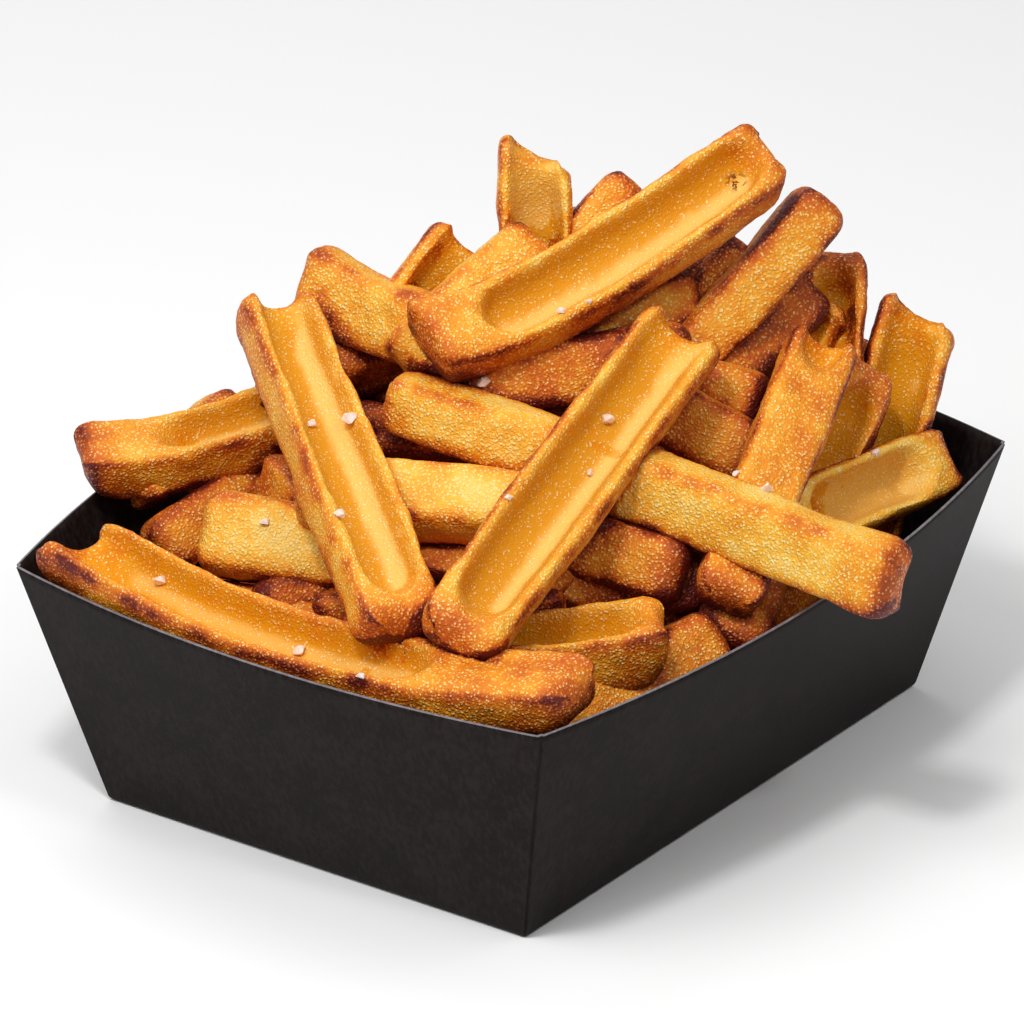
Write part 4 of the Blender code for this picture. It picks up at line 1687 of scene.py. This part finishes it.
    def low_fries(self) -> list[Fry]:
        """Lay plain fries low down around the walls, where the gaps show them.

        They wind inwards by the golden share of a turn, along the walls give
        or take a turn by chance.

        Returns:
            The fries.
        """
        chance = np.random.default_rng(self.low_seed)
        laid = []
        for number in range(self.low_count):
            angle = 2.0 * math.pi * ((number * GOLDEN_SHARE) % 1.0)
            radius = self.low_radius - self.low_spread * number / self.low_count
            place_x = self.low_reach[0] * radius * math.cos(angle)
            place_y = self.low_reach[1] * radius * math.sin(angle)
            turn = float(chance.normal(0.0, self.low_turn))
            fry = Fry(
                (place_x, place_y, self.level(place_x, place_y) - self.low_sunk),
                math.degrees(angle) + 90.0 + turn,
                float(chance.normal(0.0, self.low_tilt)),
                float(chance.uniform(*self.low_length)),
                float(chance.uniform(0.0, 180.0)),
                float(chance.uniform(*self.low_width)),
                self.low_thickness,
                # Brown partly as painted shade for the low gaps they show in
                fried=Fried.BROWN,
            )
            placed = self.slide_inside(fry)
            if placed is not None:
                laid.append(placed)
        return laid

    def core(self) -> MeshParts:
        """Give the core: a rounded block up to the shoulder and a dome above it.

        The rings are superellipses.  The dome's height falls by a power of its
        size while its rings shrink towards the peak.

        Returns:
            The core's points, faces and marks.
        """
        turns = np.linspace(0.0, 2.0 * math.pi, self.core_around, endpoint=False)
        power = 2.0 / self.core_roundness
        round_x = np.sign(np.cos(turns)) * np.abs(np.cos(turns)) ** power
        round_y = np.sign(np.sin(turns)) * np.abs(np.sin(turns)) ** power
        rings = []
        block_rings, dome_rings = self.core_rings
        for height in np.linspace(self.floor, self.core_shoulder, block_rings):
            half_x, half_y, _ = self.tray.half_sizes(height)
            spread_x, spread_y = half_x - self.core_inset, half_y - self.core_inset
            rings.append(np.column_stack([
                round_x * spread_x, round_y * spread_y, np.full(len(turns), height),
            ]))
        dome = self.core_peak - self.core_shoulder
        for inward in np.linspace(0.0, self.core_top, dome_rings)[1:]:
            size = 1.0 - inward
            height = self.core_shoulder + dome * (1.0 - size ** self.core_dome)
            rings.append(np.column_stack([
                round_x * spread_x * size + self.core_peak_at[0] * inward,
                round_y * spread_y * size + self.core_peak_at[1] * inward,
                np.full(len(turns), height),
            ]))
        grid = np.array(rings)
        lumps = sum(height * value_noise(grid, size, seed) for size, height, seed in self.core_lumps)
        grid[1:] += grid_normals(grid)[1:] * lumps[1:, :, None]
        faces = tube_faces(len(grid), len(turns))
        faces.append(list(range(len(turns)))[::-1])
        last = (len(grid) - 1) * len(turns)
        faces.append(list(range(last, last + len(turns))))
        marks = np.zeros((grid.shape[0] * grid.shape[1], 4))
        # The core takes the darkest tone as painted shade in the gaps between fries
        marks[:, 3] = Fried.DARK.value
        parts = MeshParts()
        parts.add(grid.reshape(-1, 3), faces, marks)
        return parts

    def build(self, finishes: list[bpy.types.Material]) -> tuple[Grid, Grid]:
        """Build every fry and the core.

        Args:
            finishes: The crust's material and the troughs'.

        Returns:
            The shown fries' points and normals, for what lies on them.
        """
        shown = {}
        for name, fry in SHOWN.items():
            fried, ends = FRYING_AND_SHADE.get(name, (Fried.DEEP, fry.ends))
            shown[name] = replace(fry, fried=fried, ends=ends)
        front = [name for name, fry in shown.items() if not fry.under]
        groups = {
            "fries_front": front[:self.group_size],
            "fries_middle": front[self.group_size:2 * self.group_size],
            "fries_top": front[2 * self.group_size:],
            "fries_between": [name for name, fry in shown.items() if fry.under],
        }
        far, low = self.far_fries(), self.low_fries()
        everything = [*shown.values(), *far, *low]
        seats = []
        for number, (piece, names) in enumerate(groups.items()):
            parts = MeshParts()
            for name in names:
                fry = shown[name]
                fineness = Fineness.UNDER if fry.under else Fineness.CLOSE
                char = self.burnt_speck if name == "top" else ()
                seed = len(name) * self.shown_seeds[0] + number * self.shown_seeds[1]
                seats.append(self.shape.add_to(parts, fry, fineness, seed, everything, char))
            self.finish(parts, piece, finishes)
        for piece, fries, fineness in (
            ("fries_far", far, Fineness.FAR),
            ("fries_low", low, Fineness.UNDER),
        ):
            parts = MeshParts()
            for number, fry in enumerate(fries):
                seed = self.laid_seeds[0] + number * self.laid_seeds[1]
                self.shape.add_to(parts, fry, fineness, seed, everything)
            self.finish(parts, piece, finishes)
        self.finish(self.core(), "fries_core", finishes)
        points, normals = zip(*seats)
        return np.concatenate(points), np.concatenate(normals)

    @staticmethod
    def finish(parts: MeshParts, piece: str, finishes: list[bpy.types.Material]) -> None:
        """Make a piece, dress it and say what it stands for.

        Args:
            parts: The piece's points, faces and marks.
            piece: Its name.
            finishes: The crust's material and the troughs'.
        """
        made = parts.make(piece)
        for finish in finishes:
            made.data.materials.append(finish)
        inside = np.concatenate([marks[:, 2] for marks in parts.marks])
        troughs = np.array([min(inside[face]) > 0.5 for face in parts.faces], dtype=np.int32)
        made.data.polygons.foreach_set("material_index", troughs)
        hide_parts("fries")
        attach(made, "root")
        made.data.calc_loop_triangles()
        LOG.info("%s: %d triangles", piece, len(made.data.loop_triangles))


# Salt


@dataclass
class Salt:
    """Coarse grains of salt that lie on the fries that show.

    Each grain is given by its place in the front view, in millimetres to the
    right and up, and by its size.
    """

    grains: tuple[tuple[float, float, float], ...] = (
        (-6.3, 68.0, 1), (-2.9, 67.4, 1), (17.6, 60.6, 1.05), (13.9, 51.7, 0.7),
        (-30.7, 61.5, 1.15), (-37.5, 60.6, 0.8), (-32.7, 43.6, 1), (-66.3, 30.8, 1),
        (-40.5, 18.0, 1), (-46.3, 42.5, 0.75), (-28.8, 13.2, 0.75), (47.1, 48.3, 1.1),
        (41.6, 51.4, 0.7), (68.2, 54.9, 0.85), (8.2, 81.5, 0.7), (-0.5, 46.6, 0.6),
        (14.2, 83.8, 0.5),
    )
    half_size: tuple[float, float, float] = (1.6, 1.3, 0.95)
    corners: int = 13
    reach: float = 0.8
    sunk: float = 0.25
    seed: int = 3

    def build(self, points: Grid, normals: Grid, studio: "Studio", finish: bpy.types.Material) -> None:
        """Build the grains, each seated on the surface nearest to the front.

        A grain is the convex hull of a few chance points on an ellipsoid.

        Args:
            points: The fries' points.
            normals: Their normals.
            studio: The studio, which knows the front view.
            finish: The salt's material.
        """
        chance = np.random.default_rng(self.seed)
        across, up, towards = studio.view_axes()
        flat = np.stack([points @ across, points @ up], axis=-1)
        shape = bmesh.new()
        for place_across, place_up, size in self.grains:
            near = np.flatnonzero(np.linalg.norm(flat - (place_across, place_up), axis=-1) < self.reach)
            if len(near) == 0:
                LOG.info("salt: nothing to lie on at %.1f, %.1f", place_across, place_up)
                continue
            seat = near[np.argmax(points[near] @ towards)]
            way = chance.normal(size=(self.corners, 3))
            corners = way / np.linalg.norm(way, axis=-1, keepdims=True) * self.half_size * size
            centre = points[seat] + normals[seat] * (self.half_size[2] * size - self.sunk)
            made = [shape.verts.new(((centre + corner) * MM).tolist()) for corner in corners]
            hull = bmesh.ops.convex_hull(shape, input=made)
            spare = [part for part in hull["geom_interior"] if isinstance(part, bmesh.types.BMVert)]
            bmesh.ops.delete(shape, geom=spare, context="VERTS")
        bmesh.ops.recalc_face_normals(shape, faces=shape.faces)
        mesh = bpy.data.meshes.new("salt_grains")
        shape.to_mesh(mesh)
        shape.free()
        mesh.materials.append(finish)
        made = linked("salt_grains", mesh)
        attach(made, "root")
        LOG.info("salt: %d faces", len(mesh.polygons))


# Studio


@dataclass
class Studio:
    """A pale floor, soft lights and the camera.

    Each light has a name, an azimuth and elevation in degrees, the edge of its
    square in metres and its power in watts.
    """

    azimuth: float = -54.3
    elevation: float = 26.2
    distance: float = 3000.0
    aim_height: float = 48.8
    aim_shift: float = -0.5
    pixels_per_mm: float = 5.3
    image_size: int = 1024
    sensor: float = 36.0
    clip_end: float = 20.0
    floor_half: float = 6.0
    floor_grey: Colour = (0.93, 0.93, 0.93)
    floor_rough: float = 0.9
    surroundings: float = 0.24
    light_distance: float = 900.0
    light_aim: tuple[float, float, float] = (0.0, 0.0, 50.0)
    lights: tuple[tuple[str, float, float, float, float], ...] = (
        ("key", -100.0, 55.0, 0.6, 3.8),
        ("fill", 25.0, 62.0, 0.7, 1.5),
        ("back", 150.0, 50.0, 0.7, 2.0),
        ("left sparkle", -75.0, 62.0, 0.1, 2.2),
        ("right sparkle", -20.0, 50.0, 0.1, 0.9),
    )

    def way(self, azimuth: float, elevation: float) -> Grid:
        """Give the unit vector from the object towards a direction."""
        turn, rise = math.radians(azimuth), math.radians(elevation)
        return np.array([
            math.sin(turn) * math.cos(rise),
            -math.cos(turn) * math.cos(rise),
            math.sin(rise),
        ])

    def view_axes(self) -> tuple[Grid, Grid, Grid]:
        """Give the front view's own axes.

        Returns:
            The unit vectors to the right, up and towards the camera.
        """
        turn = math.radians(self.azimuth)
        across = np.array([math.cos(turn), math.sin(turn), 0.0])
        towards = self.way(self.azimuth, self.elevation)
        return across, np.cross(towards, across), towards

    def aim(self, thing: bpy.types.Object, place: Grid, target: Grid) -> None:
        """Put a light or camera at a place, looking at a target.

        Args:
            thing: The light or camera.
            place: Its place in millimetres.
            target: What it looks at, in millimetres.
        """
        thing.location = Vector((place * MM).tolist())
        look = Vector(((target - place) * MM).tolist())
        thing.rotation_euler = look.to_track_quat("-Z", "Y").to_euler()

    def add_light(self, name: str, azimuth: float, elevation: float, size: float, power: float) -> None:
        """Add a square area light that looks at the heap.

        Args:
            name: Its name.
            azimuth: Its azimuth in degrees.
            elevation: Its elevation in degrees.
            size: The edge of its square in metres.
            power: Its power in watts.
        """
        light = bpy.data.lights.new(name, "AREA")
        light.shape = "SQUARE"
        light.size = size
        light.energy = power
        place = self.way(azimuth, elevation) * self.light_distance
        self.aim(linked(name, light), place, np.array(self.light_aim))

    def build(self) -> None:
        """Build the floor, the lights, the surroundings and the camera."""
        size = self.floor_half
        mesh = bpy.data.meshes.new("floor")
        corners = [(-size, -size, 0.0), (size, -size, 0.0), (size, size, 0.0), (-size, size, 0.0)]
        mesh.from_pydata(corners, [], [(0, 1, 2, 3)])
        floor = linked("floor", mesh)
        pale, nodes, shader = blank_material("pale floor")
        nodes.feed(shader, Base_Color=self.floor_grey, Roughness=self.floor_rough)
        mesh.materials.append(pale)

        world = bpy.data.worlds.new("studio")
        world.use_nodes = True
        background = world.node_tree.nodes["Background"]
        background.inputs["Color"].default_value = (1.0, 1.0, 1.0, 1.0)
        background.inputs["Strength"].default_value = self.surroundings
        bpy.context.scene.world = world

        for light in self.lights:
            self.add_light(*light)

        camera = bpy.data.cameras.new("camera")
        camera.sensor_width = self.sensor
        camera.lens = self.pixels_per_mm * self.distance / self.image_size * self.sensor
        camera.clip_end = self.clip_end
        view = linked("camera", camera)
        right, _, towards = self.view_axes()
        target = np.array([0.0, 0.0, self.aim_height]) + right * self.aim_shift
        self.aim(view, target + towards * self.distance, target)
        bpy.context.scene.camera = view
        bpy.context.scene.view_settings.view_transform = "Standard"


def main() -> None:
    """Build the tray, the heap, the salt and the studio, in that order."""
    logging.basicConfig(level=logging.INFO, format="%(name)s: %(message)s")
    grain, fibre = CrustGrain().build(), BoardFibre().build()
    board = BoardFinish("black board", (0.0080, 0.0048, 0.0046), (0.0205, 0.0145, 0.0138))
    edge = BoardFinish("board edge", (0.16, 0.145, 0.155), (0.24, 0.22, 0.23), rough=0.8)
    tray = Tray()
    tray.build([board.build(fibre), edge.build(fibre)])
    crust = CrustFinish()
    inside = replace(crust, name="soft inside", shine=0.14, gloss=0.34)
    points, normals = Heap(tray).build([crust.build(grain), inside.build(grain)])
    studio = Studio()
    Salt().build(points, normals, studio, SaltFinish().build())
    studio.build()


if __name__ == "__main__":
    main()
